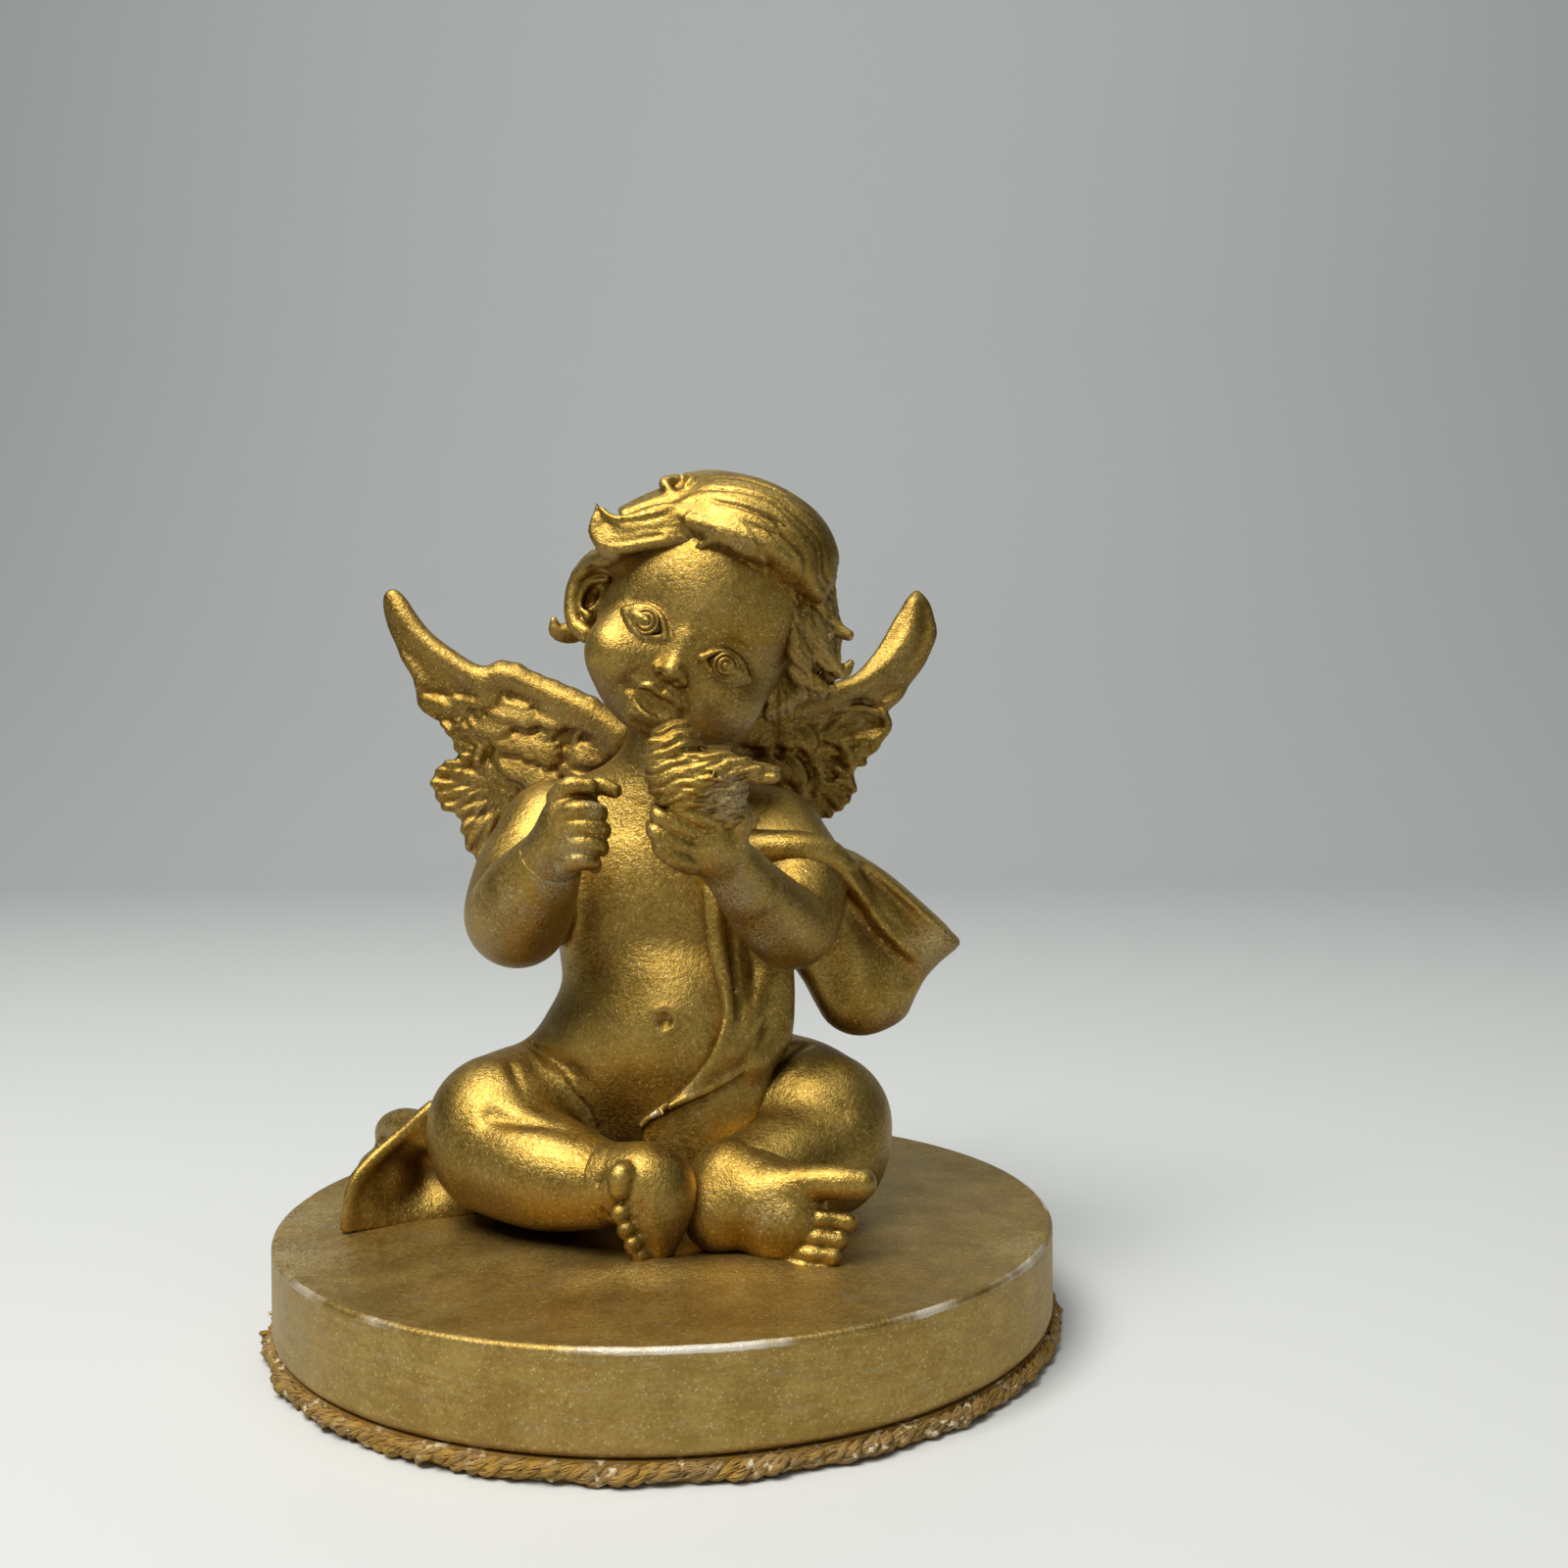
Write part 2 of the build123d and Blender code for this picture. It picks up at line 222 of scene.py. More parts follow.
def frontOf(clay, low, high, limit):  # how far forward a shape reaches, as a smooth function of x and z
    step = clayLook["frontStep"]
    xs, zs = np.arange(low[0], high[0] + step, step), np.arange(low[1], high[1] + step, step)
    ys = np.arange(-20, limit, 0.2)
    gridX, gridZ = np.meshgrid(xs, zs, indexing="ij")
    reach = np.full(gridX.size, float(limit))
    for y in ys[::-1]:
        row = np.stack([gridX.ravel(), np.full(gridX.size, y), gridZ.ravel()], axis=1)
        reach[fieldOf(clay, row) < 0] = y
    reach = reach.reshape(gridX.shape)
    for _ in range(3):
        padded = np.pad(reach, 1, mode="edge")
        reach = (
            padded[:-2, 1:-1] + padded[2:, 1:-1] + padded[1:-1, :-2] + padded[1:-1, 2:] + 2 * reach
        ) / 6

    def middle(x, z):
        i = np.clip((x - xs[0]) / step, 0, len(xs) - 1.001)
        k = np.clip((z - zs[0]) / step, 0, len(zs) - 1.001)
        i0, k0 = i.astype(int), k.astype(int)
        i1, k1 = i - i0, k - k0
        near = reach[i0, k0] * (1 - i1) + reach[i0 + 1, k0] * i1
        far = reach[i0, k0 + 1] * (1 - i1) + reach[i0 + 1, k0 + 1] * i1
        return near * (1 - k1) + far * k1

    return middle


def texture(field):
    return {"field": field, "how": "press", "low": None}


def melt(a, b, k):
    share = np.clip(0.5 + 0.5 * (b - a) / k, 0, 1)
    return b * (1 - share) + a * share - k * share * (1 - share)


def fieldOf(clay, p):
    depth = np.full(len(p), 1e3)
    for i, item in enumerate(clay):
        if item["how"] == "slice":
            depth = np.maximum(depth, item["field"](p))
            continue
        if item["low"] is None:
            depth = depth + item["field"](p)
            continue
        near = np.all((p > item["low"]) & (p < item["high"]), axis=1) if i else np.ones(len(p), bool)
        if not near.any():
            continue
        value = item["field"](p[near])
        if item["how"] == "press":
            depth[near] += value
        elif item["how"] == "cut":
            depth[near] = -melt(-depth[near], value, item["blend"])
        else:
            depth[near] = melt(depth[near], value, item["blend"])
    return depth


def meshFrom(bm, name):
    mesh = bpy.data.meshes.new(name)
    bm.to_mesh(mesh)
    bm.free()
    return mesh


def addPiece(name, mesh):
    piece = bpy.data.objects.new(name, mesh)
    bpy.context.collection.objects.link(piece)
    return piece


def writeValues(mesh, name, values):
    mesh.attributes.new(name, "FLOAT", "POINT").data.foreach_set("value", values.astype(np.float32))


def spun(name, profile, axis, steps, merge):  # a closed shape spun from its profile
    bm = bmesh.new()
    line = [bm.verts.new(spot) for spot in profile]
    edges = [bm.edges.new(pair) for pair in zip(line, line[1:])]
    bmesh.ops.spin(
        bm, geom=line + edges, cent=(0, 0, 0), axis=axis, angle=math.tau, steps=steps, use_merge=True,
    )
    bmesh.ops.remove_doubles(bm, verts=bm.verts, dist=merge)
    bmesh.ops.recalc_face_normals(bm, faces=bm.faces)
    return meshFrom(bm, name)


def readPoints(mesh):
    flat = np.empty(len(mesh.vertices) * 3, np.float32)
    mesh.vertices.foreach_get("co", flat)
    return flat.reshape(-1, 3).astype(float)


def writePoints(mesh, points):
    mesh.vertices.foreach_set("co", points.astype(np.float32).ravel())
    mesh.update()


def pullToClay(mesh, clay, rounds):
    points, probe, longest = readPoints(mesh), clayLook["probe"], clayLook["longestPull"]
    for _ in range(rounds):
        depth = fieldOf(clay, points)
        slope = np.stack(
            [fieldOf(clay, points + step) - depth for step in np.eye(3) * probe], axis=1,
        ) / probe
        steep = np.maximum(np.sum(slope**2, axis=1), 0.05)
        points -= slope * (np.clip(depth, -longest, longest) / steep)[:, None]
    writePoints(mesh, points)


def remesh(mesh, voxel):
    holder = bpy.data.objects.new("holder", mesh)
    bpy.context.collection.objects.link(holder)
    skin = holder.modifiers.new("skin", "REMESH")
    skin.mode = "VOXEL"
    skin.voxel_size = voxel
    graph = bpy.context.evaluated_depsgraph_get()
    made = bpy.data.meshes.new_from_object(holder.evaluated_get(graph))
    bpy.data.objects.remove(holder)
    bpy.data.meshes.remove(mesh)
    return made


def relax(mesh, factor):
    bm = bmesh.new()
    bm.from_mesh(mesh)
    bmesh.ops.smooth_vert(
        bm, verts=bm.verts, factor=factor, use_axis_x=True, use_axis_y=True, use_axis_z=True,
    )
    bm.to_mesh(mesh)
    bm.free()


def markRecess(mesh, rounds, cuts=()):  # how far each point sinks below the shape around it: sunk points get painted shade, raised points get rubbed wear
    points = readPoints(mesh)
    ends = np.empty(len(mesh.edges) * 2, np.int32)
    mesh.edges.foreach_get("vertices", ends)
    ends = ends.reshape(-1, 2)
    count = np.maximum(np.bincount(ends.ravel(), minlength=len(points)), 1)[:, None]
    blurred = points.copy()
    for _ in range(rounds):
        total = np.zeros_like(blurred)
        for axis in range(3):
            total[:, axis] = np.bincount(ends[:, 0], blurred[ends[:, 1], axis], len(points))
            total[:, axis] += np.bincount(ends[:, 1], blurred[ends[:, 0], axis], len(points))
        blurred = blurred * 0.3 + total / count * 0.7
    normals = np.empty(len(points) * 3, np.float32)
    mesh.vertices.foreach_get("normal", normals)
    sunk = np.sum((blurred - points) * normals.reshape(-1, 3), axis=1)
    for cut in cuts:
        sunk *= np.clip(np.abs(cut["field"](points)) / 1.0, 0, 1)
    writeValues(mesh, "recess", sunk)


dustPatches = [  # x, y, z, reach and strength of the places where the paint looks dusty
    (-7.0, -13.4, 38.6, 2.6, 1.0), (-10.4, -12.0, 35.8, 3.2, 0.55), (-14.0, -8.0, 37.6, 3.0, 0.4),
    (-6.0, -15.6, 40.8, 1.8, 0.7),
    (-4.4, -15.4, 44.2, 0.9, 1.0),
    (6.2, -14.0, 37.0, 2.8, 1.0), (8.4, -11.0, 33.4, 3.0, 0.8), (3.4, -8.6, 38.6, 3.4, 0.35),
    (24.0, 0.0, 31.2, 3.4, 0.8),
    (8.4, -17.2, 13.4, 2.2, 0.5), (-24.8, -1.4, 15.6, 3.4, 0.6), (-17.4, -7.0, 14.6, 1.6, 0.8),
    (2.4, -9.8, 21.8, 2.0, 0.8),
    (6.2, -17.4, 44.6, 2.2, 1.0), (-12.2, -5.0, 65.0, 4.0, 0.5), (13.2, -5.0, 58.0, 3.0, 0.4),
    (-30.0, -14.0, 6.0, 7.0, 1.0),
    (-32.5, -3.0, 6.0, 7.0, 0.9), (-26.0, -20.0, 5.0, 6.0, 0.6), (30.0, -12.0, 8.0, 5.0, 0.6),
    (4.6, -9.4, 34.0, 1.6, 0.8),
]


def markDust(mesh, points):
    dusty = np.zeros(len(points))
    for x, y, z, reach, strength in dustPatches:
        dusty = np.maximum(dusty, strength * np.exp(-np.sum((points - (x, y, z))**2, axis=1) / reach**2))
    writeValues(mesh, "dusty", dusty)


# takes its node's place
def sculpt(name, clay, voxel, place=None, finish="goldPaint", recessReach=0.85, cores=None):
    voxel *= clayLook["coarser"]
    bm = bmesh.new()
    planes = [item for item in clay if item["how"] == "slice"]
    for item in cores or clay:
        if item["how"] != "add":
            continue
        for spot, size, spin in item["cores"]:
            if any(plane["field"](spot[None])[0] > np.max(size) for plane in planes):
                continue  # lies wholly in another piece
            turned = Matrix(spin.tolist()).to_4x4() @ Matrix.Diagonal((*size, 1))
            bmesh.ops.create_icosphere(
                bm, subdivisions=2, radius=1.0, matrix=Matrix.Translation(spot) @ turned,
            )
    mesh = remesh(meshFrom(bm, name), voxel * 2)
    pullToClay(mesh, clay, 4)
    mesh = remesh(mesh, voxel)
    pullToClay(mesh, clay, 2)
    relax(mesh, clayLook["relax"])
    pullToClay(mesh, clay, 1)
    markRecess(mesh, min(60, max(6, round((recessReach / voxel)**2))), planes)
    if place is not None:
        mesh.transform(place)
    markDust(mesh, readPoints(mesh))
    mesh.transform(Matrix.Scale(mm, 4))
    mesh.name = name
    mesh.shade_smooth()
    keep(addPiece(name, mesh), [name], finish)
    print("sculpted", name, len(mesh.vertices))


def keep(piece, replaces, finish):
    piece.data.materials.clear()
    piece.data.materials.append(finishes[finish])
    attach(piece, "root")
    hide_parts(*replaces)


# finishes

def newGroup(name, inputs, outputs):
    group = bpy.data.node_groups.new(name, "ShaderNodeTree")
    for label, kind, value in inputs:
        socket = group.interface.new_socket(name=label, in_out="INPUT", socket_type=kind)
        socket.default_value = value
    for label, kind in outputs:
        group.interface.new_socket(name=label, in_out="OUTPUT", socket_type=kind)
    return group, group.nodes.new("NodeGroupInput"), group.nodes.new("NodeGroupOutput")


def addNode(tree, kind, inputs=(), **settings):
    node = tree.nodes.new(kind)
    for key, value in settings.items():
        setattr(node, key, value)
    for key, value in dict(inputs).items():
        if isinstance(value, bpy.types.NodeSocket):
            tree.links.new(value, node.inputs[key])
        else:
            node.inputs[key].default_value = value
    return node


def mathNode(tree, operation, first, second=0.0, clamp=False):
    return addNode(
        tree, "ShaderNodeMath", {0: first, 1: second}, operation=operation, use_clamp=clamp,
    ).outputs[0]


def mixColour(tree, share, first, second):
    node = addNode(tree, "ShaderNodeMix", data_type="RGBA")
    for socket, value in ((node.inputs[0], share), (node.inputs[6], first), (node.inputs[7], second)):
        if isinstance(value, bpy.types.NodeSocket):
            tree.links.new(value, socket)
        else:
            socket.default_value = value
    return node.outputs[2]


def ramp(tree, value, low, high):
    node = addNode(
        tree, "ShaderNodeMapRange", {"Value": value, "From Min": low, "From Max": high}, clamp=True,
    )
    return node.outputs["Result"]


def noiseAt(tree, where, scale, detail=2.0, roughness=0.5):
    node = addNode(
        tree, "ShaderNodeTexNoise",
        {"Vector": where, "Scale": scale, "Detail": detail, "Roughness": roughness},
    )
    return node.outputs["Fac"]


def makePaintWear():  # masks for the painted shade in the recesses and on down-facing surfaces, the rubbed edges, the dusty patches, and a painted floor reflection on down-facing surfaces
    group, given, result = newGroup(
        "paintWear",
        [
            ("Recess Depth", "NodeSocketFloat", 0.12), ("Edge Height", "NodeSocketFloat", 0.10),
            ("Dust And Floor Sheen", "NodeSocketFloat", 0.5),
        ],
        [
            ("Recess Shade", "NodeSocketFloat"), ("Edge", "NodeSocketFloat"), ("Dust And Floor Sheen", "NodeSocketFloat"),
            ("Underside Shade", "NodeSocketFloat"),
        ],
    )
    where = addNode(group, "ShaderNodeTexCoord").outputs["Object"]
    sunk = addNode(group, "ShaderNodeAttribute", attribute_name="recess").outputs["Fac"]
    breakup = noiseAt(group, where, 900, 4)
    blotch = noiseAt(group, where, 110, 3)
    # painted shade: the deeper a point sinks, the more the paint turns amber
    deep = mathNode(group, "DIVIDE", sunk, given.outputs["Recess Depth"], clamp=True)
    group.links.new(deep, result.inputs["Recess Shade"])
    raised = mathNode(
        group, "DIVIDE", mathNode(group, "MULTIPLY", sunk, -1.0), given.outputs["Edge Height"],
    )
    rubbed = mathNode(
        group, "ADD", raised, mathNode(group, "MULTIPLY", mathNode(group, "SUBTRACT", breakup, 0.5), 1.8),
    )
    patchy = mathNode(group, "MULTIPLY", ramp(group, rubbed, 1.0, 1.6), ramp(group, blotch, 0.46, 0.60))
    group.links.new(patchy, result.inputs["Edge"])
    normal = addNode(group, "ShaderNodeNewGeometry").outputs["Normal"]
    upward = addNode(group, "ShaderNodeSeparateXYZ", {0: normal}).outputs["Z"]
    under = ramp(group, upward, 0.25, -0.5)
    # painted shade: the paint turns darker and more amber on surfaces that face down
    group.links.new(ramp(group, upward, 0.10, -0.50), result.inputs["Underside Shade"])
    speck = ramp(group, noiseAt(group, where, 5200, 3), 0.40, 0.60)
    # painted reflection of the bright floor: down-facing surfaces get pale grey speckles; the marked patches
    # below are real dust
    settled = mathNode(
        group, "MULTIPLY", mathNode(group, "MULTIPLY", under, ramp(group, blotch, 0.46, 0.62)),
        given.outputs["Dust And Floor Sheen"],
    )
    marked = addNode(group, "ShaderNodeAttribute", attribute_name="dusty").outputs["Fac"]
    ragged = mathNode(
        group, "ADD", marked, mathNode(group, "MULTIPLY", mathNode(group, "SUBTRACT", breakup, 0.5), 0.9),
    )
    patch = mathNode(group, "MAXIMUM", settled, ramp(group, ragged, 0.22, 0.95))
    group.links.new(mathNode(group, "MULTIPLY", patch, speck), result.inputs["Dust And Floor Sheen"])
    return group


def makeCastGrain():  # the fine tooth of sprayed metallic paint
    group, given, result = newGroup(
        "castGrain",
        [("Size", "NodeSocketFloat", 2400.0)],
        [("Tone", "NodeSocketFloat"), ("Sparkle", "NodeSocketFloat"), ("Height", "NodeSocketFloat")],
    )
    where = addNode(group, "ShaderNodeTexCoord").outputs["Object"]
    fine = addNode(
        group, "ShaderNodeTexNoise", {"Vector": where, "Scale": given.outputs["Size"], "Detail": 3.0},
    ).outputs["Fac"]
    grit = noiseAt(group, where, 2600, 3, 0.6)
    broad = noiseAt(group, where, 240, 5, 0.6)
    tone = mathNode(
        group, "ADD", mathNode(group, "MULTIPLY", broad, 0.42), mathNode(group, "MULTIPLY", grit, 0.33),
    )
    group.links.new(
        mathNode(group, "ADD", tone, mathNode(group, "MULTIPLY", fine, 0.25)), result.inputs["Tone"],
    )
    flakes = addNode(group, "ShaderNodeTexVoronoi", {"Vector": where, "Scale": given.outputs["Size"]})
    colour = addNode(group, "ShaderNodeSeparateXYZ", {0: flakes.outputs["Color"]}).outputs["X"]
    group.links.new(ramp(group, colour, 0.92, 1.0), result.inputs["Sparkle"])
    group.links.new(
        mathNode(group, "ADD", fine, mathNode(group, "MULTIPLY", grit, 1.6)), result.inputs["Height"],
    )
    return group


def useGroup(tree, group, inputs=()):
    node = tree.nodes.new("ShaderNodeGroup")
    node.node_tree = group
    for key, value in dict(inputs).items():
        node.inputs[key].default_value = value
    return node


def makeGold(name, look, wear, grain):
    material = bpy.data.materials.new(name)
    material.use_nodes = True
    tree = material.node_tree
    shader = tree.nodes["Principled BSDF"]
    worn = useGroup(
        tree, wear,
        {"Recess Depth": look["recessShadeDepth"], "Edge Height": look["edgeHeight"], "Dust And Floor Sheen": look["floorSheen"]},
    )
    tooth = useGroup(tree, grain, {"Size": look["grainSize"]})
    paint = mixColour(tree, ramp(tree, tooth.outputs["Tone"], 0.40, 0.60), look["deepGold"], look["gold"])
    if look["streaks"]:
        where = addNode(tree, "ShaderNodeTexCoord").outputs["Object"]
        drawn = addNode(
            tree, "ShaderNodeMapping", {"Vector": where, "Scale": (1.0, 1.0, 6.0)},
        ).outputs["Vector"]
        streak = ramp(tree, noiseAt(tree, drawn, 230, 5, 0.65), 0.50, 0.66)
        paint = mixColour(
            tree, mathNode(tree, "MULTIPLY", streak, look["streaks"]), paint, look["deepGold"],
        )
        settled = ramp(tree, noiseAt(tree, drawn, 330, 6, 0.7), 0.55, 0.70)
        paint = mixColour(
            tree, mathNode(tree, "MULTIPLY", settled, look["settled"]), paint, look["dustColour"],
        )
    # painted shade on down-facing surfaces
    paint = mixColour(
        tree, mathNode(tree, "MULTIPLY", worn.outputs["Underside Shade"], look["undersideShade"]), paint, look["shadeAmber"],
    )
    # painted shade in the recesses
    paint = mixColour(
        tree, mathNode(tree, "MULTIPLY", worn.outputs["Recess Shade"], look["recessShadeStrength"]), paint,
        look["shadeAmber"],
    )
    paint = mixColour(
        tree, mathNode(tree, "MULTIPLY", tooth.outputs["Sparkle"], look["sparkles"]), paint, look["sparkle"],
    )
    paint = mixColour(
        tree, mathNode(tree, "MULTIPLY", worn.outputs["Edge"], look["rubbed"]), paint, look["bare"],
    )
    # real dust patches, and a painted floor reflection on down-facing surfaces
    paint = mixColour(tree, worn.outputs["Dust And Floor Sheen"], paint, look["dustColour"])
    tree.links.new(paint, shader.inputs["Base Color"])
    rough = mathNode(
        tree, "ADD", mathNode(tree, "MULTIPLY", tooth.outputs["Tone"], 0.25), look["roughness"] - 0.12,
    )
    rough = mathNode(tree, "ADD", rough, mathNode(tree, "MULTIPLY", worn.outputs["Dust And Floor Sheen"], 0.3), clamp=True)
    tree.links.new(rough, shader.inputs["Roughness"])
    dull = mathNode(
        tree, "MULTIPLY", mathNode(tree, "MAXIMUM", worn.outputs["Edge"], worn.outputs["Dust And Floor Sheen"]),
        look["rubbed"],
    )
    tree.links.new(
        mathNode(tree, "SUBTRACT", look["metallic"], dull, clamp=True), shader.inputs["Metallic"],
    )
    bump = addNode(
        tree, "ShaderNodeBump",
        {"Strength": look["bump"], "Distance": look["toothDepth"], "Height": tooth.outputs["Height"]},
    )
    tree.links.new(bump.outputs["Normal"], shader.inputs["Normal"])
    return material


# the amber colour is painted shade, laid on down-facing surfaces and in the recesses
goldLook = {
    "gold": (0.53, 0.355, 0.085, 1), "deepGold": (0.26, 0.158, 0.026, 1), "shadeAmber": (0.13, 0.056, 0.004, 1),
    "sparkle": (1.0, 0.84, 0.46, 1), "bare": (0.78, 0.76, 0.70, 1), "dustColour": (0.36, 0.31, 0.20, 1),
    "recessShadeDepth": 0.24, "edgeHeight": 0.30, "recessShadeStrength": 0.92, "floorSheen": 0.35, "grainSize": 7000.0,
    "roughness": 0.42, "metallic": 0.97, "bump": 0.85, "toothDepth": 0.00005, "streaks": 0.0,
    "settled": 0.45, "undersideShade": 0.55, "sparkles": 0.32, "rubbed": 0.7,
}

wear, grain = makePaintWear(), makeCastGrain()
finishes = {"goldPaint": makeGold("goldPaint", goldLook, wear, grain)}
plinthLook = dict(
    goldLook, gold=(0.50, 0.35, 0.105, 1), deepGold=(0.32, 0.20, 0.045, 1), roughness=0.50, streaks=0.75,
    floorSheen=0.2, undersideShade=0.0,
)
finishes["plinthPaint"] = makeGold("plinthPaint", plinthLook, wear, grain)
# the wings take a darker copy of the gold paint: painted shade for wings that sit back from the light, with
# deeper painted shade in their recesses
shadedWingLook = dict(
    goldLook, gold=(0.46, 0.30, 0.07, 1), deepGold=(0.21, 0.125, 0.02, 1), recessShadeDepth=0.18,
)
finishes["shadedWingPaint"] = makeGold("shadedWingPaint", shadedWingLook, wear, grain)
print("finishes made")


# torso, arms and legs: one body of clay, parted at the glue lines

right, left = -1, 1

trunk = [
    ball((-0.2, 3.2, 16.5), (11.6, 9.6, 8.4), blend=2),
    ball((0.2, -0.4, 24.6), (9.4, 7.8, 8.4), blend=3),
    ball((-0.2, 2.4, 32.0), (9.4, 7.6, 8.0), blend=3),
    ball((-0.8, 2.8, 38.4), (10.0, 7.2, 7.2), blend=3),
    ball((-5.7, 0.8, 22.4), (5.9, 6.6, 5.4), blend=2.5),
    limb([(-9.8, 3.2, 41.4, 4.0), (-0.6, 3.2, 43.4, 4.6), (8.6, 3.2, 40.8, 4.0)], blend=2.5),
    limb([(-0.3, 2.6, 44.0, 5.0), (0.6, 1.8, 47.5, 4.6), (1.8, 0.8, 51.5, 4.5)], blend=2.5),
]
armPaths = {
    right: [
        (-10.2, 3.0, 41.0, 4.6), (-12.0, 0.2, 37.8, 4.5), (-12.1, -4.4, 34.9, 4.4),
        (-10.6, -8.0, 36.8, 3.9), (-8.2, -11.0, 40.2, 2.5),
    ],
    left: [
        (9.4, 3.0, 40.6, 4.3), (11.4, -0.4, 37.4, 4.2), (10.8, -5.0, 33.9, 3.6), (8.6, -9.0, 36.0, 3.1),
        (5.9, -12.5, 39.5, 2.3),
    ],
}
legClay = {
    right: [
        limb(
            [(-6.4, 2.6, 16.8, 6.8), (-10.8, -1.0, 17.2, 6.5), (-13.8, -4.2, 17.2, 6.0)], blend=2.0, steps=9,
        ),
        limb(
            [(-13.6, -5.8, 15.6, 5.3), (-9.0, -9.8, 14.8, 4.6), (-4.6, -12.3, 14.4, 3.4)], blend=1.2,
            steps=9,
        ),
    ],
    left: [
        limb([(6.2, 2.6, 16.6, 6.8), (10.2, 0.4, 17.2, 6.6), (13.0, -2.2, 16.7, 6.2)], blend=2.0, steps=9),
        limb(
            [(13.2, -4.2, 14.8, 5.4), (10.0, -8.0, 14.2, 4.7), (6.4, -11.2, 13.8, 3.9)], blend=1.2, steps=9,
        ),
    ],
}


def frontSkin(clay, x, z):  # how far forward a shape reaches at one place
    ahead = np.stack([np.full(240, x), np.linspace(-13, 2, 240), np.full(240, z)], axis=1)
    inside = np.nonzero(fieldOf(clay, ahead) < 0)[0]
    return ahead[inside[0], 1]


bodyFolds = [
    groove([(0.4, frontSkin(trunk, 0.4, 26.6), 26.6)], 0.55, 0.9),  # navel
    groove(
        [
            (x, frontSkin(trunk, x, z), z)
            for x, z in ((-0.4, 27.3), (0.4, 27.6), (1.1, 27.0), (1.1, 26.2), (0.6, 25.8))
        ],
        0.26, -0.22,
    ),
    groove([(-7.6, -5.0, 31.2), (-2.0, -7.0, 33.0), (4.6, -5.8, 32.0)], 1.7, 0.6),  # crease over the belly
    # right groin
    groove([(-12.6, -1.2, 23.6), (-8.4, -5.6, 22.6), (-4.6, -8.0, 19.4), (-2.6, -8.8, 15.6)], 0.55, 0.75),
    groove([(12.6, -1.0, 23.6), (8.8, -4.6, 22.0), (5.6, -7.4, 18.6), (4.4, -8.2, 14.6)], 0.55, 0.7),
    # creases of the thigh
    groove([(-11.8, -4.0, 23.6), (-9.6, -7.0, 22.4), (-7.2, -8.6, 19.6)], 0.42, 0.32),
    groove([(-13.0, -5.4, 23.0), (-11.0, -8.6, 21.2), (-8.8, -9.8, 19.4)], 0.42, 0.3),
    # shin against thigh
    groove([(-14.4, -9.6, 19.4), (-10.2, -11.0, 18.4), (-5.4, -12.2, 17.6)], 0.8, 0.5),
    groove([(8.4, -6.6, 21.2), (11.6, -8.0, 20.6), (15.8, -8.0, 18.6)], 0.9, 0.45),
]
neckEnd = cutOff((1.5, 1.0, 50.4), (0.25, -0.15, 1))
seatPlane = cutOff((0, 0, 9.1), (0, 0, -1))
arms = {side: [limb(armPaths[side], blend=2.0, steps=9)] for side in (right, left)}
wholeBody = trunk + arms[right] + arms[left] + legClay[right] + legClay[left] + bodyFolds


bodyLook = {"torso": 0.26, "arm": 0.22, "leg": 0.24}  # voxel of each kind of piece


def bodyPiece(name, own, others, ends, voxel):
    sculpt(name, wholeBody + [partFrom(own, others)] + ends, voxel, cores=own)


def wristEnd(side):
    wrist, before = armPaths[side][-1], armPaths[side][-2]
    return cutOff(wrist[:3], [a - b for a, b in zip(wrist[:3], before[:3])])


bodyPiece(
    "torso", trunk, [arms[right], arms[left], legClay[right], legClay[left]], [neckEnd, seatPlane],
    bodyLook["torso"],
)
for side, sideName in ((right, "right"), (left, "left")):
    bodyPiece(
        sideName + "_arm", arms[side], [trunk, arms[-side], legClay[side]], [wristEnd(side)],
        bodyLook["arm"],
    )
    bodyPiece(sideName + "_leg", legClay[side], [trunk, legClay[-side]], [seatPlane], bodyLook["leg"])


# head

headLook = {
    "centre": (3.7, 0.0, 60.3), "lean": 29.5, "turn": 2.6, "eyeApart": 3.7, "eyeHeight": -3.4,
    "voxel": 0.147,
}
headLean = Euler((0, math.radians(headLook["lean"]), 0)).to_matrix()
headTurn = headLean @ Euler((0, 0, math.radians(headLook["turn"]))).to_matrix()
headPlace = Matrix.Translation(headLook["centre"]) @ headTurn.to_4x4()
fromBody = headPlace.inverted()


def toHead(path):  # a path given where it hangs in space, turned into the head's own directions
    return [(*(fromBody @ Vector(row[:3])), *row[3:]) for row in path]


skull = [
    ball((0.1, 1.6, 3.0), (8.5, 8.7, 8.2), blend=1),
    ball((0, -1.2, -2.9), (8.2, 7.5, 8.1), blend=3),
    ball((0, -3.0, 2.0), (7.0, 5.4, 6.0), blend=3),
    ball((0, -2.4, -8.2), (5.6, 5.0, 3.4), blend=2.2),
    ball((-4.2, -5.6, -6.6), (3.2, 2.9, 2.9), blend=2.2),
    ball((4.6, -5.1, -6.0), (3.3, 3.0, 3.2), blend=2.2),
    ball((0, -6.2, -10.0), (2.0, 1.7, 1.5), blend=1.6),
]


def skin(x, z):
    return frontSkin(skull, x, z)


def onSkin(path, proud=0.0):  # rows of x, z and radius, laid on the face
    return [(row[0], skin(row[0], row[1]) - proud, row[1], *row[2:]) for row in path]


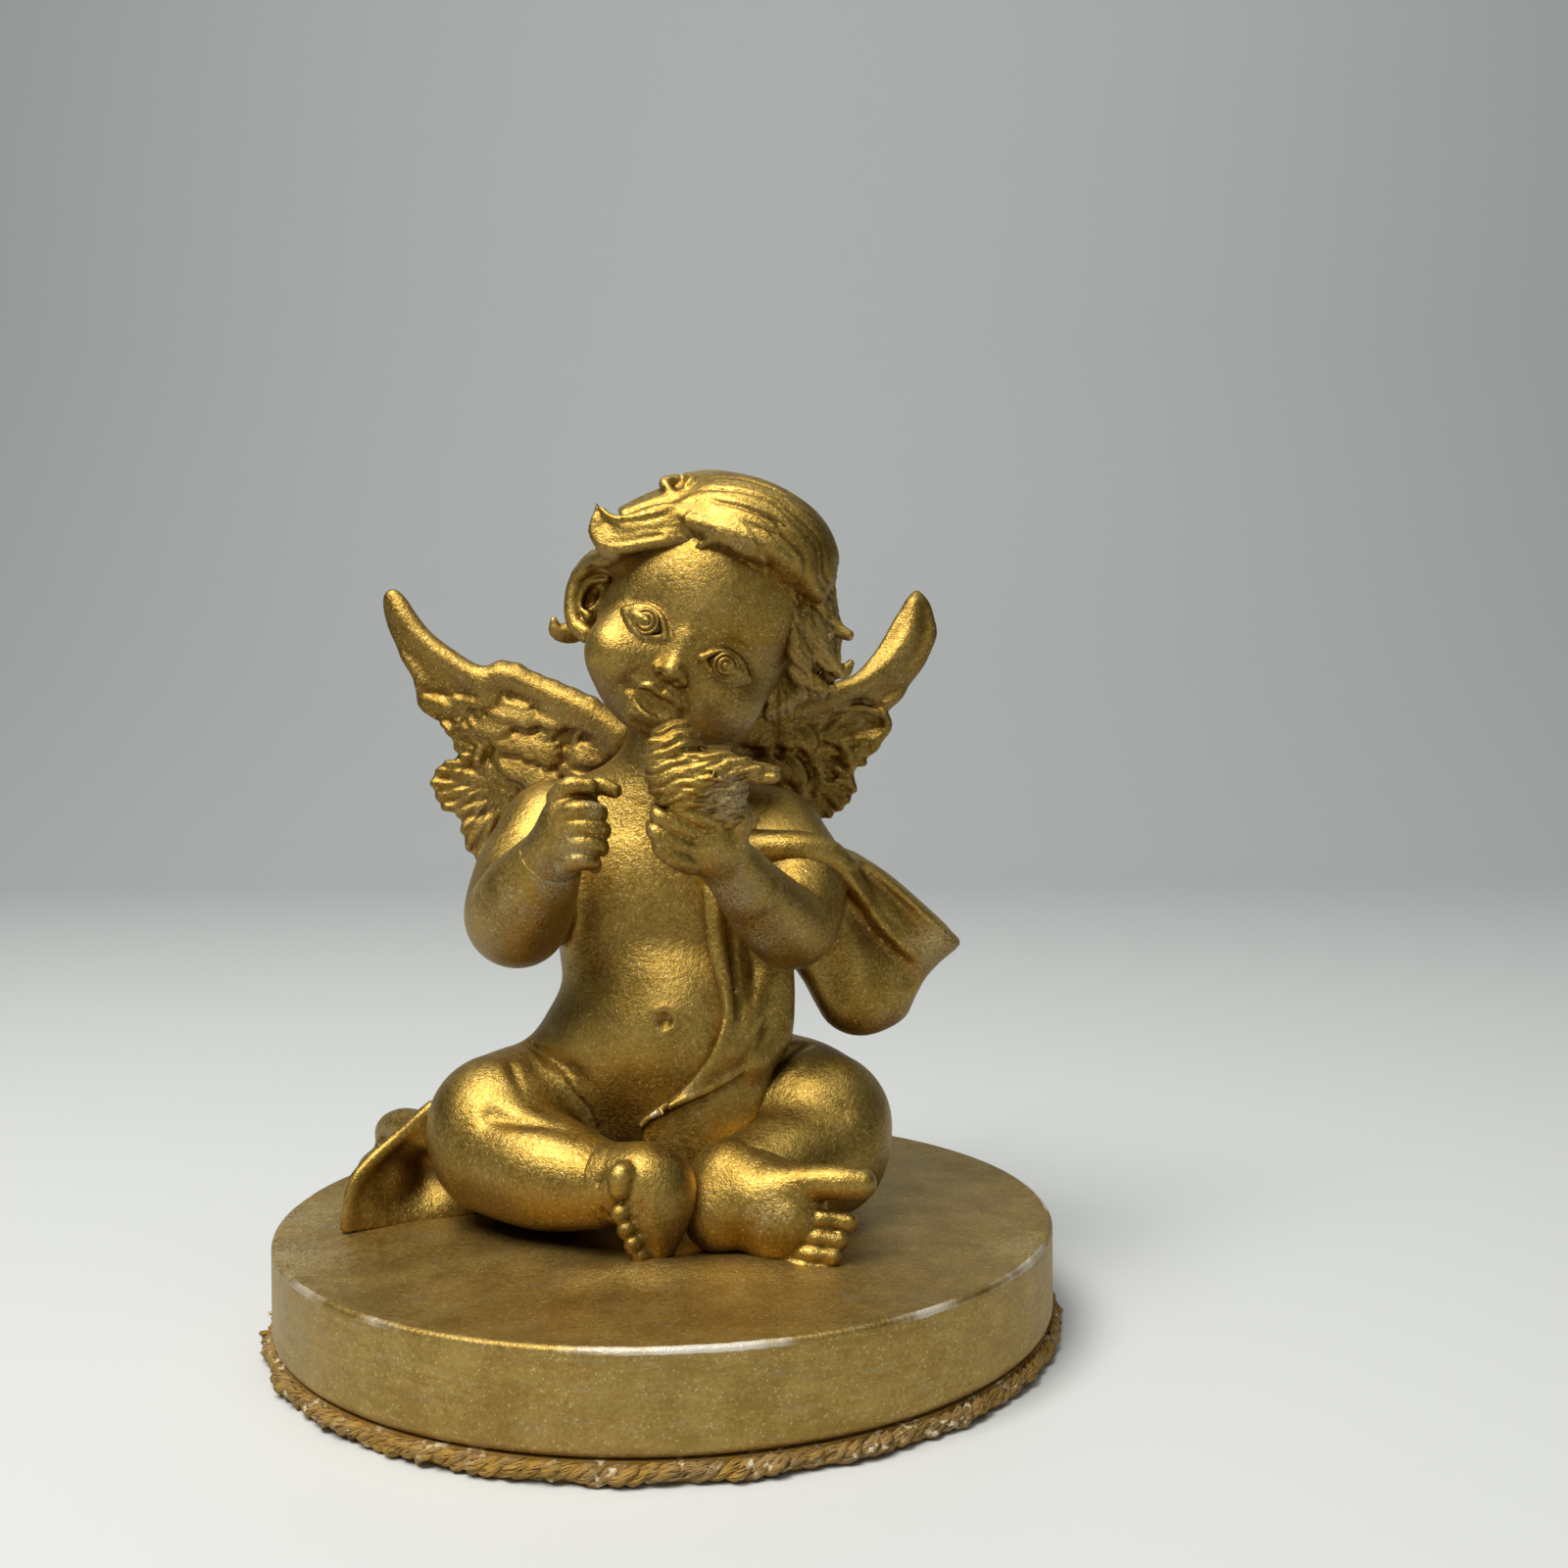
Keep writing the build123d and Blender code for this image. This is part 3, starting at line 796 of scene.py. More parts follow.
def eyeClay(side):
    x, z = side * headLook["eyeApart"], headLook["eyeHeight"]
    out = side  # towards the temple
    dip = 0.35
    depth = skin(x, z)
    upper = [
        (x - out * 2.0, z - dip), (x - out * 1.1, z + 0.75), (x, z + 1.12), (x + out * 1.1, z + 0.85),
        (x + out * 2.0, z + 0.05),
    ]
    lower = [
        (x - out * 2.0, z - dip), (x - out * 0.9, z - 0.95), (x + out * 0.2, z - 1.1),
        (x + out * 1.2, z - 0.75), (x + out * 2.0, z + 0.05),
    ]
    brow = [
        (x - out * 1.9, z + 0.6), (x - out * 1.0, z + 1.6), (x, z + 2.0), (x + out * 1.2, z + 1.6),
        (x + out * 2.2, z + 0.7),
    ]
    return [
        groove([(x, depth, z + 0.2)], 2.3, 0.55),
        ball((x, depth + 1.45, z), (1.9, 1.75, 1.25), blend=0.2),
        limb(onSkin([(*spot, 0.24) for spot in upper], -0.12), blend=0.3),
        limb(onSkin([(*spot, 0.20) for spot in lower], -0.22), blend=0.35),
        groove([(spot[0], depth - 0.1, spot[1] - 0.36) for spot in upper[1:4]], 0.17, 0.30),
        groove(onSkin(brow), 0.26, 0.30),
    ]


def mouthClay():
    upper = [
        (-1.9, -8.5, 0.2), (-0.9, -7.95, 0.42), (0.1, -8.1, 0.38), (1.1, -7.95, 0.42), (2.1, -8.5, 0.2),
    ]
    lower = [
        (-1.5, -9.3, 0.22), (-0.6, -9.8, 0.42), (0.2, -9.9, 0.45), (1.0, -9.8, 0.42), (1.8, -9.3, 0.22),
    ]
    gap = skin(0, -8.7)
    return [
        ball((0.1, gap + 0.75, -8.8), (2.5, 1.0, 1.7), blend=0.9),
        limb(onSkin(upper, 0.12), blend=0.3),
        limb(onSkin(lower, 0.08), blend=0.3),
        groove(
            [
                (x, gap - 0.1, z)
                for x, z in ((-1.4, -8.8), (-0.6, -8.9), (0.2, -9.0), (1.0, -8.9), (1.6, -8.8))
            ],
            0.85, 0.75,
        ),
        groove(onSkin([(-2.3, -8.6)]), 0.45, 0.4),
        groove(onSkin([(2.4, -8.6)]), 0.45, 0.4),
        groove(onSkin([(0.1, -7.0), (0.1, -7.5)], 0.3), 0.3, 0.2),
        groove(onSkin([(-0.8, -10.9), (0.9, -10.9)], 0.0), 0.5, 0.25),
    ]


def noseClay():
    tip = skin(0, -5.8)
    return [
        limb(
            [
                (0, skin(0, -3.4) + 0.65, -3.2, 0.7), (0.1, skin(0, -4.6) + 0.2, -4.7, 0.75),
                (0.15, tip - 0.3, -5.7, 0.85),
            ],
            blend=1.3,
        ),
        ball((0.15, tip - 0.6, -5.95), (0.95, 0.9, 0.8), blend=0.5),
        ball((-0.8, tip - 0.1, -6.2), (0.66, 0.72, 0.58), blend=0.3),
        ball((1.1, tip - 0.1, -6.2), (0.66, 0.72, 0.58), blend=0.3),
        ball((-0.45, tip - 0.65, -6.75), (0.36, 0.42, 0.42), blend=0.12, how="cut"),
        ball((0.75, tip - 0.65, -6.75), (0.36, 0.42, 0.42), blend=0.12, how="cut"),
        groove(onSkin([(-1.5, -6.6), (-2.6, -7.8), (-2.9, -9.0)]), 0.5, 0.18),
        groove(onSkin([(1.7, -6.6), (2.8, -7.8), (3.1, -9.0)]), 0.5, 0.18),
    ]


def earClay(side):
    rim = [
        (8.4, -0.6, -0.4, 0.8), (10.2, 0.2, -0.9, 0.8), (11.1, 0.8, -2.6, 0.8), (10.7, 0.8, -4.6, 0.75),
        (9.6, 0.4, -6.2, 0.75), (8.2, -0.2, -6.6, 0.8),
    ]
    fold = [(9.0, 0.3, -1.6, 0.35), (10.2, 0.6, -2.6, 0.36), (9.9, 0.5, -4.4, 0.36), (8.8, 0.0, -5.2, 0.4)]
    return [
        ball((side * 9.3, 1.5, -3.4), (2.0, 1.2, 3.0), blend=0.6),
        limb([(side * row[0], *row[1:]) for row in rim], blend=0.35),
        limb([(side * row[0], *row[1:]) for row in fold], blend=0.25),
        ball((side * 9.4, 0.1, -3.6), (0.6, 0.9, 1.2), blend=0.3, how="cut"),
    ]


def headPiece():
    clay = skull + noseClay() + mouthClay() + earClay(right)
    for side in (right, left):
        clay += eyeClay(side)
    sculpt("head", clay, headLook["voxel"], place=headPlace)


irisRings = [  # radius and how proud it stands
    (0.0, 0.16), (0.16, 0.17), (0.27, 0.13), (0.34, 0.02), (0.42, 0.02), (0.49, 0.12), (0.60, 0.14),
    (0.70, 0.10), (0.77, -0.02),
    (0.85, -0.04), (0.93, 0.05), (1.02, 0.03), (1.14, -0.16),
]


def irisPiece(side, name):  # the drawn rings of an eye, a little dome set in the eyeball
    profile = [(radius, -proud, 0) for radius, proud in irisRings] + [(0.9, 0.5, 0), (0.0, 0.5, 0)]
    mesh = spun(name, profile, (0, 1, 0), 40, 1e-4)
    points = readPoints(mesh)
    reach = np.hypot(points[:, 0], points[:, 2])
    # painted shade in the two ring grooves, carried by the recess attribute
    sunk = 0.30 * np.exp(-((reach - 0.38) / 0.07)**2) + 0.34 * np.exp(-((reach - 0.81) / 0.08)**2)
    writeValues(mesh, "recess", sunk)
    x, z = side * headLook["eyeApart"], headLook["eyeHeight"]
    mesh.transform(
        Matrix.Translation((x, skin(x, z) - 0.18, z)) @ Matrix.Rotation(math.radians(side * 14), 4, "Z")
    )
    mesh.transform(headPlace)
    mesh.transform(Matrix.Scale(mm, 4))
    mesh.shade_smooth()
    keep(addPiece(name, mesh), ["head"], "goldPaint")


def strandTexture(knot, depth):  # combed lines that run out from the parting over the crown
    middle = np.array((0.2, 1.8, 3.2))
    pole = np.array(knot) - middle
    pole /= np.linalg.norm(pole)
    side = np.cross(pole, (0, 1, 0))
    side /= np.linalg.norm(side)
    other = np.cross(pole, side)

    def field(p):
        q = p - middle
        turn = np.arctan2(q @ other, q @ side)
        along = q @ pole
        wander = turn + 0.05 * np.sin(along * 0.55 + 1.0) + 0.03 * np.sin(along * 1.3)
        comb = np.sin(wander * 31) + 0.7 * np.sin(wander * 57 + 1.3) + 0.5 * np.sin(
            wander * 88 + along * 0.2
        )
        share = np.clip((p[:, 0] + 6.2) / 2.2, 0, 1) * np.clip((9.0 - along) / 4.0, 0.15, 1)
        return depth * comb * share

    return texture(field)


hairLook = {"knot": (-7.4, -3.4, 8.2), "strands": 0.075, "voxel": 0.163}


def hairPiece():
    clay = [
        ball((0.2, 2.0, 3.3), (9.2, 9.6, 8.8), blend=1),
        ball((-3.2, 0.8, 5.7), (5.5, 7.4, 5.5), blend=2.2),
        ball((-0.1, -10.2, -4.4), (8.9, 9.6, 9.9), blend=0.5, how="cut"),
        ball((0.0, -6.0, -13.0), (12.0, 12.0, 7.4), blend=0.8, how="cut"),
    ]
    # the main sweep from the parting across the brow, with its overhanging lip
    clay += [
        strap(
            [
                (-6.4, -5.4, 5.6, 1.0, 0.6), (-4.4, -7.0, 6.2, 1.7, 0.7), (-1.4, -8.2, 6.9, 1.9, 0.75),
                (1.6, -8.5, 7.2, 1.8, 0.8), (4.4, -7.7, 7.2, 1.6, 0.85), (6.9, -5.5, 6.2, 1.6, 0.9),
            ],
            (0.1, -0.8, 0.6), blend=1.3,
        ),
        ball((1.0, -3.6, 7.4), (7.0, 5.4, 4.6), blend=1.6),
        limb(
            [
                (-3.0, -7.8, 3.7, 0.3), (-1.7, -8.9, 5.3, 0.42), (0.9, -9.2, 5.3, 0.45),
                (3.0, -8.6, 6.0, 0.42), (4.7, -7.6, 5.5, 0.35),
            ],
            blend=0.5,
        ),
        limb(
            [
                (-6.9, -5.4, 4.7, 0.35), (-5.9, -6.3, 6.3, 0.38), (-4.2, -6.9, 7.9, 0.36),
                (-2.2, -7.2, 8.6, 0.25),
            ],
            blend=0.35,
        ),
        groove([(-6.3, -6.6, 3.6), (-5.9, -7.0, 4.8), (-4.8, -7.6, 5.4)], 0.42, 0.5),
        groove([(-2.0, -9.6, 4.4), (0.4, -9.8, 4.2), (2.6, -9.4, 4.9)], 0.5, 0.65),
        groove(
            [(-4.4, -7.4, 7.4), (-1.6, -8.6, 8.2), (1.4, -8.8, 8.6), (4.6, -8.0, 8.4), (7.4, -5.8, 7.2)],
            0.24, 0.3,
        ),
        groove([(-3.6, -8.0, 6.3), (-0.6, -9.1, 7.2), (2.4, -9.1, 7.6), (5.4, -7.9, 7.2)], 0.22, 0.3),
        groove([(-2.4, -8.6, 5.7), (-0.4, -9.5, 6.2), (2.0, -9.5, 6.6)], 0.2, 0.3),
        groove(
            [(-5.2, -6.6, 8.0), (-2.2, -7.6, 9.4), (1.6, -7.8, 9.8), (5.2, -6.8, 9.3), (8.0, -4.6, 7.8)],
            0.24, 0.26,
        ),
        groove([(-5.6, -5.4, 9.4), (-2.4, -6.2, 10.8), (1.8, -6.2, 11.0), (5.6, -5.2, 10.0)], 0.24, 0.24),
        groove([(-5.4, -4.0, 10.6), (-2.0, -4.6, 11.8), (2.4, -4.4, 11.8)], 0.24, 0.22),
    ]
    # the wave that flips out over the right temple, thin and sharp at its top edge
    clay += [
        strap(
            [
                (-4.8, -7.0, 5.0, 1.7, 0.6), (-6.2, -7.0, 4.2, 1.9, 0.6), (-7.8, -6.6, 2.8, 1.7, 0.55),
                (-9.3, -6.0, 1.6, 1.6, 0.5), (-10.6, -5.5, 1.6, 1.35, 0.4), (-11.3, -5.3, 2.2, 0.7, 0.35),
            ],
            (-0.3, -1, 0.1), blend=0.45,
        ),
        limb(
            [
                (-5.5, -6.6, 6.6, 0.34), (-6.6, -6.9, 5.4, 0.34), (-7.8, -6.8, 4.1, 0.34),
                (-9.3, -6.4, 3.0, 0.32), (-10.8, -5.8, 2.7, 0.28), (-12.1, -5.2, 3.4, 0.18),
            ],
            blend=0.3,
        ),
        limb(
            [
                (-11.9, -5.2, 2.8, 0.22), (-11.0, -5.4, 1.2, 0.3), (-9.8, -5.6, 0.0, 0.35),
                (-8.6, -6.0, 0.2, 0.3),
            ],
            blend=0.4,
        ),
        strap(
            [(-6.4, -3.8, 7.4, 1.8, 0.9), (-8.2, -4.2, 5.4, 1.6, 0.8), (-9.8, -4.4, 3.7, 1.0, 0.5)],
            (-0.5, -0.4, 0.8), blend=0.8,
        ),
        groove([(-5.6, -8.0, 4.4), (-7.6, -7.6, 2.9), (-9.4, -6.8, 1.8), (-11.2, -6.0, 2.2)], 0.28, 0.32),
        groove([(-5.8, -7.8, 3.5), (-7.8, -7.4, 2.0), (-9.6, -6.6, 0.9)], 0.25, 0.28),
        groove([(-6.4, -7.6, 5.0), (-8.2, -7.2, 3.6), (-9.8, -6.4, 2.6)], 0.22, 0.22),
        strap(
            [
                (-8.6, -5.6, 0.6, 1.0, 0.6), (-9.6, -3.6, -0.2, 1.2, 0.7), (-10.6, -1.2, -0.9, 1.1, 0.7),
                (-11.3, 0.4, -2.6, 0.7, 0.6),
            ],
            (-0.5, -0.8, 0.6), blend=0.4,
        ),
        ball((-8.4, -2.0, 1.0), (2.0, 3.2, 2.2), blend=0.8),
        groove([(-8.8, -5.8, -0.3), (-9.8, -4.0, -0.9), (-10.5, -1.6, -1.8)], 0.25, 0.25),
        limb([(-7.5, -3.6, 8.2, 0.55), (-8.1, -4.2, 7.5, 0.55), (-7.4, -4.9, 7.1, 0.45)], blend=0.3),
        limb([(-6.8, -3.6, 8.9, 0.45), (-6.2, -4.6, 8.7, 0.5), (-6.4, -5.2, 8.0, 0.4)], blend=0.3),
        groove([(-7.1, -4.9, 7.9)], 0.5, 0.6),
    ]
    # locks that hang by the left cheek and flip outwards, in the directions of the room
    locks = [
        [
            (10.2, 1.4, 68.0, 2.4, 1.2), (12.3, 0.2, 64.0, 2.4, 1.2), (13.0, -1.0, 60.8, 1.8, 1.1),
            (13.9, -2.0, 59.2, 1.1, 0.8), (15.7, -2.8, 58.2, 0.45, 0.4),
        ],
        [
            (11.2, -3.6, 65.5, 1.3, 0.8), (12.4, -4.2, 61.6, 1.4, 0.9), (12.7, -4.2, 58.6, 1.2, 0.8),
            (13.6, -3.8, 56.3, 0.85, 0.6), (15.2, -3.4, 55.0, 0.55, 0.45), (15.9, -3.2, 55.8, 0.35, 0.3),
        ],
        [
            (10.8, -4.8, 62.6, 0.8, 0.6), (11.6, -5.0, 59.2, 1.0, 0.7), (11.5, -4.4, 56.4, 1.1, 0.8),
            (12.0, -3.6, 54.6, 0.95, 0.6), (14.2, -3.0, 53.6, 0.5, 0.4),
        ],
        [
            (12.6, 2.4, 63.6, 2.2, 1.4), (13.5, 1.6, 59.4, 2.2, 1.4), (13.5, 0.6, 56.2, 1.9, 1.2),
            (13.0, 0.2, 53.8, 1.2, 0.9),
        ],
        [
            (11.4, 0.4, 57.4, 2.0, 1.3), (10.6, -1.0, 54.2, 1.8, 1.1), (9.4, -1.4, 52.6, 1.4, 0.9),
            (8.0, -1.2, 52.0, 0.9, 0.6),
        ],
    ]
    for lock, facing in zip(
        locks, ((0.5, -1, 0.1), (0.3, -1, 0.1), (0.2, -1, 0), (0.9, -0.5, 0), (0.2, -1, 0.3)),
    ):
        clay.append(strap(toHead(lock), tuple(fromBody.to_3x3() @ Vector(facing)), blend=0.35))
    partings = [
        [(11.0, -4.6, 65.6), (11.8, -5.4, 61.6), (12.0, -5.4, 58.8), (12.8, -4.9, 56.6)],
        [(11.8, -3.6, 66.4), (13.1, -3.6, 62.2), (13.4, -3.6, 59.6), (14.6, -3.4, 57.6)],
        [(11.6, -5.8, 60.6), (11.9, -5.6, 57.6), (12.8, -4.6, 55.2)],
        [(12.0, -2.2, 68.2), (13.9, -1.4, 64.4), (14.3, -1.8, 61.2)],
        [(10.6, -4.6, 68.0), (11.8, -4.2, 66.0), (12.6, -3.8, 63.4)],
    ]
    for parting in partings:
        clay.append(groove(toHead(parting), 0.3, 0.42))
    # curls of the nape, low at the back and under the right ear
    for x, y, z, size in (
        (-7.0, 6.0, -3.0, 2.8), (-3.0, 8.2, -4.4, 2.8), (1.6, 8.6, -4.4, 2.9), (5.8, 7.2, -3.6, 2.8),
        (-8.2, 3.6, -1.6, 2.6)
    ):
        clay.append(ball((x, y, z), (size, size * 0.8, size), blend=0.9))
        clay.append(
            groove(
                [(x - 1.4, y + 1.8, z + 1.8), (x + 0.4, y + 2.4, z + 0.4), (x + 0.2, y + 1.8, z - 1.6)],
                0.4, 0.45,
            )
        )
    clay.append(
        limb(
            [
                (-8.6, 3.4, -5.0, 1.3), (-9.6, 2.4, -7.0, 1.0), (-10.7, 1.8, -7.6, 0.7),
                (-11.4, 1.5, -6.9, 0.3),
            ],
            blend=0.5,
        )
    )
    clay.append(strandTexture(hairLook["knot"], hairLook["strands"]))
    sculpt("hair", clay, hairLook["voxel"], place=headPlace)


headPiece()
irisPiece(right, "rightIris")
irisPiece(left, "leftIris")
hairPiece()


# hands, feet and bird

limbLook = {"hand": 0.15, "foot": 0.17, "recessReach": 0.6}


def handClay(side):
    if side == right:  # a loose fist, its thumb along the forefinger
        clay = [
            limb([(-9.3, -9.9, 38.9, 2.6), (-7.7, -11.8, 41.0, 2.4), (-6.4, -12.9, 42.7, 2.4)], blend=0.8),
            ball((-6.3, -13.0, 42.7), (2.3, 2.1, 3.0), turn=(0, 12, 0), blend=1.0),
            limb(
                [(-7.4, -13.6, 44.9, 0.85), (-6.3, -14.2, 45.8, 0.82), (-4.8, -14.3, 45.8, 0.66)],
                blend=0.35,
            ),
            limb(
                [(-5.6, -12.9, 45.2, 0.75), (-4.2, -13.0, 45.8, 0.75), (-3.0, -13.2, 45.4, 0.6)], blend=0.35,
            ),
            groove([(-7.0, -15.0, 44.4), (-5.0, -15.4, 44.7), (-3.4, -15.0, 44.5)], 0.25, 0.35),
        ]
        for i, reach in enumerate((2.7, 2.8, 2.5, 1.8)):
            z = 43.9 - 1.3 * i
            x = -6.8 + 0.14 * i
            clay.append(
                limb(
                    [
                        (x - 0.4, -14.1, z - 0.35, 0.86), (x + reach * 0.4, -15.2, z + 0.1, 0.80),
                        (x + reach, -14.9, z - 0.05, 0.66), (x + reach + 0.1, -13.8, z - 0.45, 0.55),
                    ],
                    blend=0.32,
                )
            )
        return clay
    clay = [  # an open hand with bent fingers, under the bird
        limb([(7.6, -11.0, 37.4, 2.6), (5.9, -12.5, 39.5, 2.35), (4.9, -13.8, 40.9, 2.3)], blend=0.8),
        ball((4.2, -14.6, 41.5), (2.6, 1.9, 2.7), turn=(0, -40, 0), blend=1.0),
        limb([(6.3, -14.4, 41.6, 1.1), (6.9, -15.2, 43.2, 0.95), (6.6, -15.6, 44.6, 0.75)], blend=0.5),
    ]
    for i, (x, z, reach) in enumerate((
        (5.1, 43.0, 3.0), (4.0, 42.2, 3.2), (3.2, 41.0, 2.7), (3.0, 39.8, 2.1)
    )):
        clay.append(
            limb(
                [
                    (x, -15.6, z, 0.86), (x - reach * 0.5, -16.5, z + 0.5, 0.80),
                    (x - reach, -16.7, z + 1.3, 0.68), (x - reach - 0.3, -15.9, z + 1.8, 0.55),
                ],
                blend=0.2,
            )
        )
    return clay


for side, sideName in ((right, "right"), (left, "left")):
    sculpt(sideName + "_hand", handClay(side), limbLook["hand"], recessReach=limbLook["recessReach"])


def footClay(side):
    if side == right:  # stands on its toes beside the left one, the big toe uppermost
        clay = [
            limb([(-4.6, -12.3, 14.4, 3.3), (-2.6, -13.4, 14.8, 3.1), (0.3, -14.2, 14.6, 2.9)], blend=1.0),
            limb([(-0.8, -14.6, 15.4, 2.7), (0.1, -15.0, 13.0, 2.6), (0.2, -15.4, 10.7, 1.6)], blend=1.2),
            groove([(-3.6, -16.2, 17.0), (-4.2, -15.6, 14.6), (-3.0, -15.8, 11.8)], 0.28, 0.28),
            groove([(-1.0, -17.6, 14.8), (-0.4, -17.9, 12.6), (0.0, -17.6, 10.6)], 0.4, 0.35),
        ]
        toes = (
            (-2.3, -16.9, 15.9, 1.0, 1.3), (-2.3, -17.1, 13.5, 0.72, 0.3), (-1.9, -17.2, 12.3, 0.68, 0.3),
            (-1.4, -17.3, 11.2, 0.64, 0.3), (-0.9, -17.1, 10.2, 0.58, 0.3)
        )
        for x, y, z, size, reach in toes:
            clay.append(
                limb(
                    [
                        (x + 1.0, y + 1.2, z + 0.1, size * 0.9), (x, y, z + reach * 0.35, size),
                        (x - 0.1, y - 0.1, z - reach * 0.4, size * 0.92),
                    ],
                    blend=0.2,
                )
            )
        return clay
    clay = [  # lies on its side, the big toe uppermost and pointing away
        limb([(6.2, -11.2, 13.9, 3.9), (8.4, -13.0, 13.2, 3.7), (10.4, -14.2, 12.8, 3.0)], blend=1.2),
        ball((5.2, -12.6, 12.0), (3.2, 3.0, 3.0), blend=1.4),
        ball((9.8, -14.8, 11.4), (3.0, 2.4, 2.6), blend=1.2),
        limb(
            [
                (9.4, -14.6, 14.6, 1.8), (12.2, -15.4, 15.3, 1.4), (14.4, -15.8, 15.4, 1.3),
                (15.9, -15.9, 15.3, 1.2),
            ],
            blend=0.7,
        ),
        groove([(12.9, -17.4, 14.0), (14.4, -17.2, 14.0)], 0.5, 0.5),
    ]
    for z, x, y, size, end in (
        (12.5, 12.6, -16.0, 0.80, 14.9), (11.2, 12.2, -16.4, 0.74, 14.2), (10.1, 11.8, -16.8, 0.70, 13.7),
        (9.2, 11.2, -17.0, 0.60, 13.0)
    ):
        clay.append(
            limb(
                [
                    (x - 1.4, y + 0.9, z + 0.1, size), (x, y, z + 0.15, size),
                    ((x + end) / 2, y - 0.1, z + 0.1, size * 0.85), (end, y - 0.1, z - 0.1, size * 0.95),
                ],
                blend=0.14,
            )
        )
    return clay


for side, sideName in ((right, "right"), (left, "left")):
    sculpt(
        sideName + "_foot", footClay(side) + [seatPlane], limbLook["foot"],
        recessReach=limbLook["recessReach"],
    )


def featherTexture(depth, size):
    def field(p):
        x, z = p[:, 0] / size, (p[:, 2] - 0.2 * p[:, 0]) / size
        coarse = np.sin(z * 5.4 + 1.1 * np.sin(x * 1.1 + 0.4) + 0.7 * np.sin(x * 2.3 + z * 1.4))
        fine = np.sin(z * 9.1 + 1.6 * np.sin(x * 1.7) + p[:, 1] / size)
        return depth * (coarse + 0.5 * fine)

    return texture(field)


birdLook = {"depth": -15.9, "feather": 0.09, "featherSize": 0.8, "voxel": 0.12, "recessReach": 0.4}


def birdPiece():
    y = birdLook["depth"]
    clay = [
        ball((2.5, y, 46.2), (2.8, 2.2, 2.5), turn=(0, 15, 0)),
        ball((4.9, y + 0.2, 46.8), (2.8, 1.9, 1.8), turn=(0, 8, 0), blend=1.0),
        ball((2.0, y - 0.2, 49.05), (1.95, 1.8, 1.9), blend=0.7),
        ball((1.2, y - 0.1, 47.8), (1.5, 1.6, 1.7), blend=1.0),
        limb([(1.0, y - 0.8, 49.2, 0.7), (0.3, y - 1.3, 49.3, 0.25)], blend=0.6),
        strap(
            [
                (3.4, y - 1.5, 46.7, 1.5, 0.7), (4.8, y - 1.6, 47.2, 1.3, 0.7),
                (6.6, y - 1.2, 47.3, 0.9, 0.55), (8.0, y - 0.9, 46.9, 0.6, 0.4),
            ],
            (0, -1, 0.25), blend=0.45,
        ),
        strap(
            [(5.0, y, 47.0, 1.3, 0.9), (7.4, y, 46.9, 1.1, 0.85), (9.3, y - 0.1, 46.6, 0.9, 0.6)],
            (0, -0.4, 1), blend=0.5,
        ),
        limb([(5.2, y - 0.2, 46.4, 1.7), (5.9, y - 0.3, 45.2, 1.5), (6.0, y + 0.2, 43.8, 1.3)], blend=0.7),
        limb([(2.8, y, 45.0, 1.8), (3.6, y + 0.2, 43.8, 1.4)], blend=0.8),
    ]
    for rise in (48.3, 47.7, 47.1, 46.5, 45.9):
        clay.append(
            groove(
                [
                    (0.6, y - 2.7, rise - 0.4), (3.0, y - 2.6, rise + 0.2), (5.2, y - 2.3, rise + 0.15),
                    (7.2, y - 1.9, rise - 0.1),
                ],
                0.17, 0.34,
            )
        )
    clay.append(featherTexture(birdLook["feather"], birdLook["featherSize"]))
    sculpt("bird", clay, birdLook["voxel"], recessReach=birdLook["recessReach"])


birdPiece()


# wings

def standOff(surface, path, proud, *rest):  # rows of x, z and more, stood off a curved surface
    return [
        (row[0], float(surface(np.array(row[0]), np.array(row[1]))) - proud, *row[1:], *rest)
        for row in path
    ]


def wingSheet(side, root, sweep):
    return lambda x, z: root + sweep * np.maximum(side * x - 2, 0) + 0.035 * np.maximum(z - 54, 0)**1.2


wingLook = {"root": 12.6, "sweep": 0.13, "half": 0.85, "barbs": 0.10, "voxel": 0.24, "recessReach": 0.6}


def barbTexture(centre, depth):  # fine lines that fan out from the wing's wrist
    def field(p):
        turn = np.arctan2(p[:, 2] - centre[1], p[:, 0] - centre[0])
        reach = np.hypot(p[:, 0] - centre[0], p[:, 2] - centre[1])
        return depth * (
            np.sin(turn * 34 + 0.7 * np.sin(reach)) + 0.6 * np.sin(turn * 19 + reach * 0.8)
        ) * np.clip(reach / 6, 0, 1)

    return texture(field)


def curlTexture(centre, reach, depth):  # crowded curls with sharp creases between them
    def field(p):
        x, z = p[:, 0], p[:, 2]
        bend = x * 1.25 + 1.2 * np.sin(z * 0.8 + 0.6) + 0.7 * np.sin(x * 0.9 - z * 1.1)
        rise = z * 1.15 + 1.1 * np.sin(x * 0.75) + 0.6 * np.sin(z * 0.9 + x * 0.5)
        curls = np.abs(np.sin(bend + 0.9 * np.sin(rise))) + 0.6 * np.abs(np.sin(rise * 1.4 + 0.5 * bend))
        share = np.exp(-(((x - centre[0]) / reach[0])**2 + ((z - centre[1]) / reach[1])**2)**2)
        return depth * (0.8 - curls) * share

    return texture(field)


def ruffle(side, sheet, spots):  # short curled coverts, each a little leaf that stands off the wing
    leaves = []
    for x, z, length, turn in spots:
        aim = math.radians(turn)
        rows = []
        for share, wide, proud in ((0, 0.8, 0.5), (0.4, 1.15, 1.0), (0.8, 1.0, 1.15), (1.0, 0.5, 0.9)):
            bend = 0.35 * math.sin(share * 3)
            here = (
                x + side * length * share * math.cos(aim + bend), z + length * share * math.sin(aim + bend)
            )
            rows += standOff(sheet, [here], proud, wide, 0.42)
        leaves.append(strap(rows, (0, -1, 0.15), blend=0.22))
    return leaves


